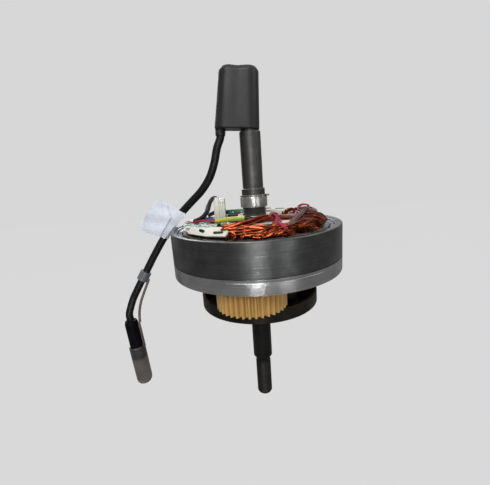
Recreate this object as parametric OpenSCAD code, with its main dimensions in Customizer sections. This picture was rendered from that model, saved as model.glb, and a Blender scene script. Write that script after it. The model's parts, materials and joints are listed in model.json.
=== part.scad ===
/* [Axle] */
// Diameter of the long axle seats, and bore of the bearings on them
axle_d = 15; // [14:0.5:18]
// Length of the axle from the lower shoulder to the upper shoulder
axle_seat_l = 175.3; // [170:0.1:212]
// Diameter of both threaded axle ends
axle_end_d = 12; // [10:0.5:13]
// Length of the lower threaded end
lower_end_l = 34.6; // [26:0.1:42]
// Length of the upper threaded end, inside the rubber cap
upper_end_l = 17; // [14:0.5:20]
// Width across the flats of the upper end
upper_flat_w = 10; // [8:0.1:10]
// Diameter of the cable bore
axle_bore_d = 6.6; // [6:0.1:7.4]
// How much thicker than the seats the section that carries the stator is
collar_step = 2; // [1.5:0.5:5]

/* [Rotor] */
// Outer diameter of the rotor
rotor_d = 125; // [120:1:150]
// Height of the steel ring
ring_h = 22.7; // [22.7:0.1:28]
// Wall of the steel ring
ring_wall = 5; // [4:0.1:6]
// Height of the aluminium rotor plate at its rim
plate_h = 9.6; // [9:0.1:11.6]
// Thickness of the rotor plate's floor
plate_floor = 4; // [3:0.1:4.2]
// Depth of the recess under the rotor plate
plate_recess = 3.5; // [3.5:0.1:4.2]
// Width of the rotor plate's rim, outside the recess
plate_rim_w = 12.5; // [10:0.1:13]
// Number of magnets
magnet_count = 20; // [16:2:24]
// Thickness of each magnet
magnet_t = 3; // [2.5:0.1:3.6]
// Height of each magnet
magnet_h = 20; // [17:0.1:20.6]
// Gap between neighbouring magnets
magnet_gap = 1.6; // [1:0.1:3]
// Number of screws that hold the ring to the plate
rotor_screw_count = 8; // [6:1:10]
// Diameter of those screws
rotor_screw_d = 2.5; // [2:0.1:2.6]

/* [Bearings] */
// Outer diameter of the bearings on the axle
bearing_od = 24; // [22.5:0.5:28.5]
// Width of the bearings on the axle
bearing_w = 5; // [4.2:0.1:6]
// Width of the ledge between the two rotor bearings
bearing_ledge_w = 6; // [5:0.1:7.2]
// Wall of the rotor plate's hub round its bearings
rotor_hub_wall = 3; // [2:0.1:3.6]

/* [Stator] */
// Air gap between the magnets and the stator teeth
air_gap = 0.6; // [0.5:0.05:0.8]
// Number of teeth and coils
slot_count = 18; // [15:3:18]
// Height of the lamination stack
core_h = 17; // [14.5:0.1:18]
// Diameter of the hole in the lamination stack
core_bore_d = 66; // [60:1:66]
// Width of the iron ring behind the teeth
yoke_w = 5.5; // [4.6:0.1:5.5]
// Width of a tooth
tooth_w = 7; // [6:0.1:7.2]
// Height of a tooth's tip along the radius
tip_h = 3.5; // [3:0.1:4]
// Opening between neighbouring tooth tips
slot_mouth = 2.5; // [2:0.1:3]
// Thickness of a coil on each side of its tooth
coil_t = 2.7; // [2.3:0.05:2.7]
// Height of a coil above and below its insulator
coil_rise = 4.4; // [3.7:0.1:4.4]
// Thickness of the insulators
insulator_t = 1; // [0.8:0.1:1.2]

/* [Reduction] */
// Gear module, pitch diameter for each tooth
gear_module = 1.25; // [1.1:0.01:1.3]
// Teeth on the sun gear
sun_teeth = 18; // [18:3:21]
// Teeth on each planet gear
planet_teeth = 36; // [36:3:39]
// Width of the planet gears
planet_w = 16; // [13.4:0.1:19.2]
// Play between meshed teeth at the pitch circle
backlash = 0.12; // [0.1:0.01:0.15]
// Diameter of the carrier
carrier_d = 88.4; // [88:0.1:90]
// Height of the carrier cup
carrier_h = 9.1; // [8.8:0.1:10.9]
// Thickness of the carrier cup's floor
carrier_floor = 3.5; // [3:0.1:4.2]
// Wall of the carrier cup's lip
carrier_lip = 2; // [1.7:0.1:2.4]
// Thickness of the plate above the planets
carrier_plate_t = 3; // [2.5:0.1:3]
// Diameter of a carrier post
post_d = 10; // [8.4:0.1:12]
// Radius of the circle that the posts stand on
post_r = 28.7; // [27.5:0.1:30]
// Diameter of a planet pin
pin_d = 8; // [7:0.1:9.6]
// Outer diameter of a planet bearing
planet_bearing_od = 22; // [19:0.5:26]
// Diameter of a clutch roller
roller_d = 5; // [4.5:0.1:5.2]
// Number of clutch rollers
roller_count = 6; // [5:1:8]

/* [Cable] */
// Diameter of the motor cable
cable_d = 5.8; // [5:0.1:5.9]
// Diameter of the boot under the cap
boot_d = 7.3; // [7:0.1:8.6]
// Height of the rubber cap
cap_h = 40.2; // [34:0.1:48]
// Wall of the rubber cap
cap_wall = 1.8; // [1.5:0.1:2]
// Diameter of the plug
plug_d = 10.6; // [9:0.1:12.6]
// Length of the plug's grip
plug_l = 23; // [20:0.5:27.5]
// Diameter of the plug's dust cap
dust_cap_d = 12.8; // [12.2:0.1:15]
// Length of the plug's dust cap
dust_cap_l = 34; // [28:0.5:40]

/* [Hidden] */
$fn = 64;
tiny = 0.01;
running = 0.02;      // radial clearance of a running fit
loose = 0.3;         // clearance between parts that only pass each other
screw_gap = 0.05;    // radial clearance of a screw in the piece that it holds

// Heights above the lower axle shoulder
carrier_z = 49.8;
gear_gap = 1.1;
gear_z = carrier_z + carrier_h + gear_gap;
gear_top = gear_z + planet_w;
rotor_z = gear_top + 1;
floor_z = rotor_z + plate_recess;
floor_top = floor_z + plate_floor;
ring_z = rotor_z + plate_h;
low_bearing_z = floor_z + 1;
high_bearing_z = low_bearing_z + bearing_w + bearing_ledge_w;
rotor_hub_top = high_bearing_z + bearing_w + 0.3;
collar_z = rotor_hub_top + 0.2;
hub_key_z = collar_z + 2;
hub_key_l = 6;
core_z = floor_top + coil_rise + insulator_t + 0.1;
core_top = core_z + core_h;
hub_disc_h = 3.4;
hub_nose_h = 6.2;
coil_top = core_top + insulator_t + coil_rise;
hub_top = core_top + hub_disc_h + hub_nose_h;
disc_top = core_top + hub_disc_h;
seal_h = 5.6;
spacer_h = 7.6;
circlip_t = 1.2;
circlip_turn = -35;
flats_start = 6;
seal_top = hub_top + seal_h;
spacer_top = seal_top + spacer_h;
collar_top = spacer_top + circlip_t + 4.6;

// Radii
axle_r = axle_d / 2;
end_r = axle_end_d / 2;
collar_r = (axle_d + collar_step) / 2;
rotor_r = rotor_d / 2;
ring_in_r = rotor_r - ring_wall;
magnet_in_r = ring_in_r - magnet_t;
stator_r = magnet_in_r - air_gap;
core_bore_r = core_bore_d / 2;
yoke_r = core_bore_r + yoke_w;
coil_in_r = yoke_r + 1.1;
coil_out_r = stator_r - tip_h - 0.1;
hub_disc_r = core_bore_r + 4;
hub_boss_r = collar_r + 4.5;
hub_rim_r = core_bore_r - 5;
bearing_r = bearing_od / 2;
rotor_hub_r = bearing_r + rotor_hub_wall;
screw_circle_r = rotor_r - ring_wall / 2 - 0.4;
rotor_screw_turn = 11;
ring_hole_l = 10;
carrier_r = carrier_d / 2;
hub_hole_r = 3.2;
boss_r = bearing_r + 2.5;
lead_floor = coil_top + 0.4;

// Gears
sun_pitch_r = gear_module * sun_teeth / 2;
planet_pitch_r = gear_module * planet_teeth / 2;
planet_circle_r = sun_pitch_r + planet_pitch_r;
pressure_angle = 20;
planet_angles = [-99, 21, 141];
post_angles = [for (a = planet_angles) a + 60];
flange_r = planet_circle_r - planet_pitch_r + 6.75;
sun_flange_h = floor_z - gear_top - 1;

// One-way clutch, on the axle in the middle of the carrier
race_r = axle_r + 3.5;
clutch_bore_r = race_r + roller_d + 0.3;
clutch_z = carrier_z + carrier_floor + 0.7;
clutch_h = carrier_h - carrier_floor - 0.9;
clutch_wall_r = clutch_bore_r + 3;
boss_h = 6;
carrier_bearing_z = carrier_z - boss_h + 0.5;

// Cap, boot and cable
cap_tilt = 4.9;
cap_z = axle_seat_l + 0.7;
cap_low_x = [-1.2, -16.6];
cap_high_x = [-2.1, -14.6];
cap_low_r = 8.2;
cap_high_r = 7.4;
cap_shoulder_h = 2.7;
cap_shoulder_w = 2;
boot_x = -20.6;
cap_floor = 3;
boot_low = -4.5;
boot_l = cap_floor - boot_low;
cable_route = [
    [-20.3, 0, 180.6], [-21, 0, 172.5], [-24, 0, 165.5], [-27, 0.5, 155], [-31.5, 1.5, 145],
    [-38.5, 3, 136], [-47.5, 5, 128], [-57, 7.5, 119.5], [-66.5, 9, 109.5], [-74, 8.5, 99.5],
    [-80.5, 8, 90], [-85, 7.5, 83], [-89.3, 6.8, 76], [-94.9, 5.2, 66.8], [-99, 4, 59.8],
    [-102.5, 3, 53.5],
    [-105, 1.5, 47], [-106.5, 0, 41.2], [-106, 0, 35.2]
];
plug_at = [-106.1, 0, 36.2];
plug_tilt = -4.6;
harness_route = [
    [-20.2, 0, 181.1], [-18.8, 0, 185], [-17.5, 0, 190], [-15, 0, 196], [-10, 0, 200.5],
    [-4.5, 0, 200.5], [-1, 0, 197.5], [0, 0, 192], [0, 0, 165], [0, 0, 140], [0, 0, 121], [-0.2, 0, 116.5],
    [-1.5, 0, 113.9], [-5, 0, 113.1], [-17, 0, 113.1]
];
harness_d = 4.8;
exit_z = hub_top - axle_bore_d / 2 - 0.2;

// ---- shared shapes ----

// Upright ring between two radii
module ring(outer_r, inner_r, h, z = 0) {
    translate([0, 0, z]) difference() {
        cylinder(r = outer_r, h = h);
        translate([0, 0, -1]) cylinder(r = inner_r, h = h + 2);
    }
}

// Copies of a shape at each angle of a list
module at_angles(angles, r = 0) {
    for (a = angles) rotate([0, 0, a]) translate([r, 0, 0]) children();
}

function spread(count, start = 0) = [for (i = [0:count - 1]) start + i * 360 / count];

// Involute gear outline: half the angle that a tooth spans at radius r
function involute(a) = tan(a) * 180 / PI - a;
function half_tooth(teeth, r, base_r) =
    let (pitch_r = gear_module * teeth / 2)
    90 / teeth - backlash / 4 / pitch_r * 180 / PI + involute(pressure_angle)
        - (r > base_r ? involute(acos(base_r / r)) : 0);
function gear_outline(teeth) =
    let (
        pitch_r = gear_module * teeth / 2,
        base_r = pitch_r * cos(pressure_angle),
        root_r = pitch_r - 1.25 * gear_module,
        tip_r = pitch_r + gear_module,
        start_r = max(base_r, root_r),
        steps = 4,
        radii = concat([root_r], [for (s = [0:steps]) start_r + (tip_r - start_r) * s / steps])
    )
    [for (t = [0:teeth - 1]) each concat(
        [for (r = radii) let (a = t * 360 / teeth - half_tooth(teeth, r, base_r))
            r * [cos(a), sin(a)]],
        [for (i = [len(radii) - 1:-1:0]) let (r = radii[i], a = t * 360 / teeth
            + half_tooth(teeth, r, base_r)) r * [cos(a), sin(a)]]
    )];

// Tube swept along a route; the sides of its rings are turned against the up vector
function unit(v) = v / norm(v);
function heading(route, i) = unit(route[min(i + 1, len(route) - 1)] - route[max(i - 1, 0)]);
function tube_points(route, r, sides, up) = [for (i = [0:len(route) - 1])
    let (h = heading(route, i), side = unit(cross(h, up)), rise = cross(side, h))
    for (j = [0:sides - 1]) route[i] + r * (cos(j * 360 / sides) * side + sin(j * 360 / sides) * rise)];
function tube_faces(rings, sides) = concat(
    [[for (j = [sides - 1:-1:0]) j]],
    [for (i = [0:rings - 2]) for (j = [0:sides - 1]) let (k = (j + 1) % sides)
        [i * sides + j, i * sides + k, (i + 1) * sides + k, (i + 1) * sides + j]],
    [[for (j = [0:sides - 1]) (rings - 1) * sides + j]]
);
module tube(route, d, sides = 10, up = [0, 1, 0]) {
    polyhedron(tube_points(route, d / 2, sides, up), tube_faces(len(route), sides), convexity = 6);
}

// Ball bearing: two grooved races and their balls
module ball_bearing(bore_r, outer_r, w, balls) {
    mid_r = (bore_r + outer_r) / 2;
    race_t = (outer_r - bore_r) * 0.3;
    ball_r = (outer_r - bore_r) * 0.25;
    difference() {
        union() {
            ring(outer_r, outer_r - race_t, w);
            ring(bore_r + race_t, bore_r, w);
        }
        translate([0, 0, w / 2]) rotate_extrude() translate([mid_r, 0]) circle(r = ball_r + 0.03);
    }
    at_angles(spread(balls), mid_r) translate([0, 0, w / 2]) sphere(r = ball_r);
}

// Flush screw: a shank with a conical head whose face is at z = 0, shank upwards
head_wide = 0.9;     // radius of the head, for each mm of the shank's diameter
head_deep = 0.4;     // depth of the head, for each mm of the shank's diameter
module flush_screw(d, l) {
    cylinder(r1 = head_wide * d, r2 = d / 2, h = head_deep * d);
    cylinder(r = d / 2, h = l);
}

// Hole for a flush screw, with its clearance
module flush_hole(d, l) {
    translate([0, 0, -tiny])
        cylinder(r1 = head_wide * d + screw_gap, r2 = d / 2 + screw_gap, h = head_deep * d + tiny);
    translate([0, 0, -1]) cylinder(r = d / 2 + screw_gap, h = l + 1.2);
}

// Axle that turns with nothing: everything is carried on it
module axle_outline() {
    rotate_extrude() polygon([
        [0, -lower_end_l], [end_r - 1.5, -lower_end_l], [end_r, -lower_end_l + 1.5], [end_r, 0],
        [axle_r - 0.5, 0], [axle_r, 0.5], [axle_r, collar_z], [collar_r, collar_z],
        [collar_r, hub_top], [axle_r, hub_top], [axle_r, seal_top], [collar_r, seal_top],
        [collar_r, spacer_top], [axle_r + 0.4, spacer_top], [axle_r + 0.4, spacer_top + circlip_t],
        [collar_r, spacer_top + circlip_t], [collar_r, collar_top - 0.4],
        [collar_r - 0.4, collar_top], [axle_r, collar_top], [axle_r, axle_seat_l - 0.8],
        [axle_r - 0.8, axle_seat_l], [end_r, axle_seat_l], [end_r, axle_seat_l + upper_end_l - 0.8],
        [end_r - 0.8, axle_seat_l + upper_end_l], [0, axle_seat_l + upper_end_l]
    ]);
}

module axle() {
    color("gray") difference() {
        axle_outline();
        translate([0, 0, exit_z - 5]) cylinder(d = axle_bore_d, h = 120);
        translate([0, 0, exit_z]) rotate([0, -90, 0]) cylinder(d = axle_bore_d, h = collar_r + 5);
        for (side = [-1, 1]) translate([side * (upper_flat_w / 2 + 5), 0, axle_seat_l + flats_start + 10])
            cube([10, 30, 20], center = true);
        translate([0, 0, clutch_z]) key_seat(axle_r, clutch_h);
        translate([0, 0, hub_key_z]) key_seat(collar_r, hub_key_l);
        ring(axle_r + 1, axle_r - 0.6, circlip_t + 0.1, carrier_bearing_z - circlip_t - 0.1);
    }
}

// Parallel key on the +X side of a shaft, half in the shaft and half in what it drives
key_w = 3;
key_h = 2.4;
module key_seat(shaft_r, l) {
    translate([shaft_r - key_h / 2, -key_w / 2, 0]) cube([key_h, key_w, l]);
}
module key(shaft_r, l) {
    translate([shaft_r - key_h / 2 + 0.02, -key_w / 2 + 0.02, 0.02])
        cube([key_h - 0.04, key_w - 0.04, l - 0.04]);
}

// ---- cable end ----

module in_cap() {
    translate([0, 0, cap_z]) rotate([0, cap_tilt, 0]) children();
}

// Two-lobed body of the cap, made smaller all round by inset
module cap_body(inset) {
    hull() for (i = [0, 1]) {
        translate([cap_low_x[i], 0, 0]) cylinder(r = cap_low_r - inset, h = 1, $fn = 32);
        translate([cap_high_x[i], 0, cap_h - cap_shoulder_h - inset])
            cylinder(r = cap_high_r - inset, h = tiny, $fn = 32);
        translate([cap_high_x[i], 0, cap_h - inset - tiny])
            cylinder(r = cap_high_r - cap_shoulder_w - inset, h = tiny, $fn = 32);
    }
}

module cable_cap() {
    color("#1c1c1e") difference() {
        in_cap() cap_body(0);
        in_cap() difference() {
            translate([0, 0, cap_floor]) cap_body(cap_wall);
            translate([-50, -50, cap_h - cap_wall]) cube(100);
        }
        translate([0, 0, cap_z - 5]) cylinder(r = end_r + 0.1, h = upper_end_l + 5);
        in_cap() translate([boot_x, 0, -5]) cylinder(r = boot_d / 2 + 0.05, h = 5 + cap_floor + 0.4);
    }
}

module cable_boot() {
    color("#202022") in_cap() translate([boot_x, 0, boot_low]) difference() {
        cylinder(r = boot_d / 2, h = boot_l);
        translate([0, 0, -1]) cylinder(r = cable_d / 2 + 0.08, h = boot_l + 2);
    }
}

module motor_cable() { color("#151517") tube(cable_route, cable_d, 12); }

module axle_harness() { color("#151517") tube(harness_route, harness_d, 8); }

// Paper flag in front of the cable; s runs down the cable and a across it
label_at = [-66.5, 3.1, 109.5];
label_fall = 46.2;
label_t = 0.4;
label_outline = [[-14, -15.5], [-8, -18.5], [8.4, -21], [8.6, -9], [2.2, -3], [2.2, 7.5], [-9.4, 9]];
module cable_label() {
    color("white") translate(label_at) rotate([90, label_fall, 0]) translate([0, 0, -label_t])
        linear_extrude(label_t) polygon([for (p = label_outline) [p[0], -p[1]]]);
}

module at_plug() { translate(plug_at) rotate([0, plug_tilt, 0]) mirror([0, 0, 1]) children(); }

module plug_body() {
    color("#1a1a1c") at_plug() difference() {
        union() {
            cylinder(d1 = plug_d - 1.2, d2 = plug_d, h = 2);
            translate([0, 0, 2]) cylinder(d = plug_d, h = plug_l - 2);
            translate([0, 0, plug_l - tiny]) cylinder(d = plug_d - 2.4, h = 10);
        }
        translate([0, 0, plug_l + 1]) cylinder(d = plug_d - 4.4, h = 12);
    }
}

module plug_contacts() {
    color("gold") at_plug() translate([0, 0, plug_l + 1])
        at_angles(spread(8), 2) cylinder(d = 0.9, h = 7.5, $fn = 16);
}

// Soft cup over the plug's open end, with a tab for its strap
tab_z = 3;
tab_t = 1.6;
module dust_cap() {
    cap_start = plug_l + 0.1;
    color("#8f8578") at_plug() difference() {
        union() {
            translate([0, 0, cap_start]) cylinder(d = dust_cap_d, h = dust_cap_l - 5);
            translate([0, 0, cap_start + dust_cap_l - 5])
                cylinder(d1 = dust_cap_d, d2 = dust_cap_d - 6, h = 5);
            translate([plug_d / 2 + 0.3, -1.5, tab_z]) cube([tab_t, 3, cap_start - tab_z + 2]);
        }
        translate([0, 0, cap_start - 1]) cylinder(d = plug_d - 2.2, h = 13);
    }
}

// Strap from the cup's tab up to the band round the cable
strap_route = [[-98.8, 0, 34.6], [-98.4, 1, 42], [-96.4, 1.6, 50], [-93.4, 3, 57.5], [-90.6, 5, 64]];
band_at = [-92.1, 6, 71.4];
module cap_strap() {
    color("#8f8578") {
        tube(strap_route, 2.4, 8);
        translate(band_at) rotate([0, 31.3, 0]) rotate([-8.4, 0, 0]) difference() {
            cylinder(d = cable_d + 3.4, h = 8, center = true);
            cylinder(d = cable_d + 0.4, h = 10, center = true);
        }
    }
}

// ---- stator ----

module split_ring(outer_r, inner_r, h, mouth) {
    difference() {
        ring(outer_r, inner_r, h);
        rotate([0, 0, circlip_turn]) translate([0, -mouth / 2, -1]) cube([outer_r + 1, mouth, h + 2]);
    }
}

module upper_circlip() {
    color("silver") translate([0, 0, spacer_top + 0.05]) {
        split_ring(collar_r + 1.2, axle_r + 0.45, circlip_t - 0.1, 4);
        for (side = [-1, 1]) rotate([0, 0, circlip_turn + side * 17]) translate([collar_r + 1.9, 0, 0])
            difference() {
                cylinder(r = 1.5, h = circlip_t - 0.1);
                translate([0, 0, -1]) cylinder(r = 0.6, h = 3);
            }
    }
}

module spacer_ring() {
    color("silver") ring(collar_r + 1.4, collar_r + running, spacer_h, seal_top);
}

module axle_seal() {
    color("#2a2624") ring(collar_r + 0.1, axle_r, seal_h, hub_top);
}

module stator_hub() {
    color("lightgray") difference() {
        union() {
            translate([0, 0, collar_z]) cylinder(r = hub_boss_r, h = hub_top - collar_z);
            translate([0, 0, core_top]) cylinder(r = hub_disc_r, h = hub_disc_h);
            ring(core_bore_r, hub_rim_r, core_h, core_z + 1);
        }
        translate([0, 0, collar_z - 1]) cylinder(r = collar_r, h = 60);
        translate([-collar_r - 8, -axle_bore_d / 2, disc_top - 0.5])
            cube([10, axle_bore_d, hub_nose_h + 3.8]);
        translate([0, 0, hub_key_z]) key_seat(collar_r, hub_key_l);
        at_angles(spread(6, 30), (hub_boss_r + hub_rim_r) / 2)
            translate([0, 0, core_top - 1]) cylinder(r = hub_hole_r, h = hub_disc_h + 2);
    }
}

module stator_key() { color("dimgray") translate([0, 0, hub_key_z]) key(collar_r, hub_key_l); }

// Plan of the laminations between an inner radius and the tooth tips
module core_plan(inner_r) {
    difference() {
        union() {
            difference() {
                circle(r = yoke_r);
                circle(r = inner_r);
            }
            at_angles(spread(slot_count)) translate([yoke_r - 1, -tooth_w / 2])
                square([stator_r - yoke_r - tip_h + 2, tooth_w]);
            difference() {
                circle(r = stator_r);
                circle(r = stator_r - tip_h);
                at_angles(spread(slot_count, 180 / slot_count)) translate([0, -slot_mouth / 2])
                    square([stator_r + 1, slot_mouth]);
            }
        }
    }
}

module stator_core() {
    color("#4a4a4c") translate([0, 0, core_z]) linear_extrude(core_h) core_plan(core_bore_r);
}

module insulator_wall(h) { ring(hub_disc_r + 1.6, hub_disc_r + 0.1, h); }

module upper_insulator() {
    color("#e9e6da") translate([0, 0, core_top]) {
        linear_extrude(insulator_t) core_plan(hub_disc_r + 0.1);
        insulator_wall(insulator_t + coil_rise);
    }
}

module lower_insulator() {
    color("#e9e6da") translate([0, 0, core_z - insulator_t]) {
        linear_extrude(insulator_t) core_plan(core_bore_r);
        translate([0, 0, insulator_t - coil_rise]) insulator_wall(coil_rise - insulator_t);
    }
}

// One coil: a wedge-shaped block with the tooth's window through it, its outer corners just
// inside the tooth tips
module coil() {
    low_w = tooth_w / 2 + coil_t;
    flare = tan(180 / slot_count);
    high_w = min(low_w + (coil_out_r - coil_in_r) * flare, coil_out_r * flare - 0.4);
    outer_x = sqrt(pow(coil_out_r, 2) - pow(high_w, 2));
    window_z = core_z - insulator_t;
    difference() {
        translate([0, 0, window_z - coil_rise + 0.3])
            linear_extrude(core_h + 2 * insulator_t + 2 * coil_rise - 0.3)
            polygon([[coil_in_r, -low_w], [outer_x, -high_w], [outer_x, high_w], [coil_in_r, low_w]]);
        translate([coil_in_r - 1, -tooth_w / 2 - 0.1, window_z])
            cube([coil_out_r - coil_in_r + 2, tooth_w + 0.2, core_h + 2 * insulator_t]);
    }
}

module stator_coils() { color("#b0683c") at_angles(spread(slot_count)) coil(); }

// Bare copper gathered in a heavy rope across the front of the stator
rope_d = 8;
inner_rope_d = 6.4;
module rope(r, d, from, to) {
    translate([0, 0, lead_floor + d / 2]) rotate([0, 0, from])
        rotate_extrude(angle = to - from) translate([r, 0]) circle(d = d);
}
module copper_leads() {
    color("#d9793f") {
        rope(stator_r - 9, rope_d, -149, -45);
        rope(stator_r - 17.6, inner_rope_d, -140, -60);
    }
}

module lead_sleeve() {
    color("#b7c23c") tube([
        [-38, -7, lead_floor + 3], [-32, -10, lead_floor + 5.4], [-25, -12.5, lead_floor + 6],
        [-18, -14.5, lead_floor + 5.4], [-11, -16, lead_floor + 4.4], [-3, -17.5, lead_floor + 3.6]
    ], 4, 8, [0, 0, 1]);
}

module crimson_lead() {
    color("#8e1f33") tube([
        [8, -19, lead_floor + 3], [13, -21.5, lead_floor + 5], [18, -20.5, lead_floor + 7],
        [22, -16, lead_floor + 8], [25, -10, lead_floor + 9], [28, -4, lead_floor + 9.5],
        [30, 2, lead_floor + 8], [33, 8, lead_floor + 4.4], [36.5, 12.5, lead_floor + 1.6]
    ], 3, 8, [0, 0, 1]);
}

module flat_braid() {
    color("#7a5a3c") tube([
        [20, -44, lead_floor + 10.2], [24, -34, lead_floor + 10], [29, -24, lead_floor + 8.8],
        [34, -14, lead_floor + 6.4], [37.5, -2, lead_floor + 4], [39, 10, lead_floor + 3]
    ], 3.4, 8, [0, 0, 1]);
}

// Curved board that carries the rotor position sensors
board_t = 1.6;
module sensor_board() {
    color("#2f6b3f") translate([0, 0, coil_top + tiny]) rotate([0, 0, 150]) rotate_extrude(angle = 55)
        translate([hub_disc_r + 2, 0]) square([stator_r - hub_disc_r - 8, board_t]);
}

module sensor_chips() {
    color("#202020") at_angles([160, 190, 201], stator_r - 10)
        translate([-2, -2.2, coil_top + board_t + 2 * tiny]) cube([4, 4.4, 1.8]);
}

module lead_board() {
    color("#3c8048") translate([-12, 13, disc_top + tiny]) rotate([0, 0, -12])
        translate([0, 4, 0]) cube([14, 1.4, 13]);
}

module board_connector() {
    color("#e8e6e0") translate([-31, -2, disc_top + tiny]) difference() {
        cube([9.4, 6, 20.5]);
        for (x = [1.2, 5.2]) translate([x, 1.4, 10]) cube([3, 3.2, 12]);
    }
}

module sensor_wires() {
    color("#221c1a") {
        tube([
            [-26, 6.4, hub_top + 4], [-29, 8.6, hub_top + 6.4], [-34, 9, hub_top + 5],
            [-38, 7, hub_top + 1], [-40, 3, lead_floor + 3.6]
        ], 3.6, 8);
        tube([
            [-36, 17, lead_floor + 3.4], [-32, 20, lead_floor + 4], [-26, 23, lead_floor + 4],
            [-17, 25.5, lead_floor + 3.4], [-8, 26.5, lead_floor + 3]
        ], 4.4, 8, [0, 0, 1]);
        tube([
            [34, 26, lead_floor + 3], [40, 18, lead_floor + 3.4], [44.5, 8, lead_floor + 3.4],
            [46, -2, lead_floor + 3], [45, -11, lead_floor + 2.8]
        ], 4.4, 8, [0, 0, 1]);
    }
}

module splice_block() {
    color("#efece4") translate([7.5, 14, disc_top + tiny]) rotate([0, 0, -14]) cube([20, 7, 7.5]);
}

// ---- rotor ----

module rotor_ring() {
    color("#5a5c60") difference() {
        ring(rotor_r, ring_in_r, ring_h, ring_z);
        at_angles(spread(rotor_screw_count, rotor_screw_turn), screw_circle_r)
            translate([0, 0, ring_z - 1]) cylinder(d = rotor_screw_d, h = ring_hole_l + 1, $fn = 24);
    }
}

module rotor_magnets() {
    pitch = 360 / magnet_count;
    color("#9aa0a6") at_angles(spread(magnet_count)) translate([0, 0, ring_z + 0.8])
        intersection() {
            ring(ring_in_r, magnet_in_r, magnet_h);
            rotate([0, 0, -pitch / 2]) linear_extrude(magnet_h) polygon([
                [0, 0],
                (rotor_r + 1) * [cos(magnet_gap), sin(magnet_gap)],
                (rotor_r + 1) * [cos(pitch - magnet_gap), sin(pitch - magnet_gap)]
            ]);
        }
}

module rotor_plate() {
    recess_r = rotor_r - plate_rim_w;
    color("#c9ccd0") difference() {
        union() {
            ring(rotor_r, recess_r, floor_top - rotor_z, rotor_z);
            ring(rotor_r, ring_in_r - 2, plate_h, rotor_z);
            translate([0, 0, floor_z]) cylinder(r = recess_r + 1, h = plate_floor);
            translate([0, 0, floor_z]) cylinder(r = rotor_hub_r, h = rotor_hub_top - floor_z);
        }
        translate([0, 0, floor_z - 1]) cylinder(r = bearing_r - 2, h = 60);
        translate([0, 0, low_bearing_z]) cylinder(r = bearing_r, h = bearing_w);
        translate([0, 0, floor_z - 1]) cylinder(r = bearing_r, h = low_bearing_z - floor_z + 1 + tiny);
        translate([0, 0, high_bearing_z]) cylinder(r = bearing_r, h = 30);
        at_angles(spread(rotor_screw_count, rotor_screw_turn), screw_circle_r) translate([0, 0, rotor_z])
            flush_hole(rotor_screw_d, plate_h + 1);
        at_angles(spread(4, 45), sun_screw_r) translate([0, 0, floor_z - 1])
            cylinder(d = sun_screw_d, h = plate_floor + 2, $fn = 24);
    }
}

module rotor_screws() {
    color("#8a8c90") at_angles(spread(rotor_screw_count, rotor_screw_turn), screw_circle_r)
        translate([0, 0, rotor_z]) flush_screw(rotor_screw_d, plate_h + ring_hole_l - 1);
}

sun_screw_d = 2;
sun_screw_r = flange_r - 2.6;
module sun_gear() {
    color("#77787a") difference() {
        union() {
            translate([0, 0, gear_z + 1]) linear_extrude(planet_w + tiny) polygon(gear_outline(sun_teeth));
            translate([0, 0, floor_z - sun_flange_h]) cylinder(r = flange_r, h = sun_flange_h);
            translate([0, 0, floor_z - tiny])
                cylinder(r = bearing_r - running, h = low_bearing_z - floor_z + tiny);
        }
        translate([0, 0, gear_z - 1]) cylinder(r = axle_r + loose, h = 40);
        at_angles(spread(4, 45), sun_screw_r) translate([0, 0, floor_z - sun_flange_h])
            flush_hole(sun_screw_d, sun_flange_h + 1);
    }
}

module sun_screws() {
    color("#606266") at_angles(spread(4, 45), sun_screw_r)
        translate([0, 0, floor_z - sun_flange_h]) flush_screw(sun_screw_d, sun_flange_h + plate_floor);
}

module axle_bearing(z) { translate([0, 0, z]) ball_bearing(axle_r + running, bearing_r, bearing_w, 14); }
module low_rotor_bearing() { color("silver") axle_bearing(low_bearing_z); }
module high_rotor_bearing() { color("silver") axle_bearing(high_bearing_z); }

// ---- carrier ----

pin_low = carrier_z + 0.5;
spigot_z = carrier_z + 1;
spigot_r = post_d / 2 - 2;
washer_t = 0.5;
module carrier_cup() {
    color("#3a3936") difference() {
        union() {
            translate([0, 0, carrier_z]) cylinder(r = carrier_r, h = carrier_floor);
            ring(carrier_r, carrier_r - carrier_lip, carrier_h, carrier_z);
            translate([0, 0, carrier_z]) cylinder(r = clutch_wall_r, h = carrier_h);
            translate([0, 0, carrier_z - boss_h]) cylinder(r = boss_r, h = boss_h + 1);
            at_angles(planet_angles, planet_circle_r) translate([0, 0, carrier_z])
                cylinder(d = pin_d + 6, h = carrier_h + gear_gap - washer_t);
            at_angles(post_angles, post_r) translate([0, 0, carrier_z])
                cylinder(d = post_d + 2, h = carrier_floor + 1);
        }
        translate([0, 0, carrier_z - boss_h - 1]) cylinder(r = bearing_r, h = boss_h + 1);
        translate([0, 0, carrier_z - boss_h - 1]) cylinder(r = race_r + 0.4, h = 30);
        translate([0, 0, clutch_z]) cylinder(r = clutch_bore_r, h = 20);
        at_angles(planet_angles, planet_circle_r) translate([0, 0, pin_low])
            cylinder(d = pin_d, h = 30);
        at_angles(post_angles, post_r) translate([0, 0, spigot_z]) cylinder(r = spigot_r, h = 30);
    }
}

module carrier_posts() {
    low = carrier_z + carrier_floor + 1;
    color("#35342f") at_angles(post_angles, post_r) difference() {
        union() {
            translate([0, 0, low]) cylinder(d = post_d, h = plate_z - low);
            translate([0, 0, spigot_z]) cylinder(r = spigot_r - running, h = low - spigot_z + tiny);
        }
        translate([0, 0, plate_z - 8]) cylinder(d = plate_screw_d, h = 9, $fn = 24);
    }
}

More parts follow.
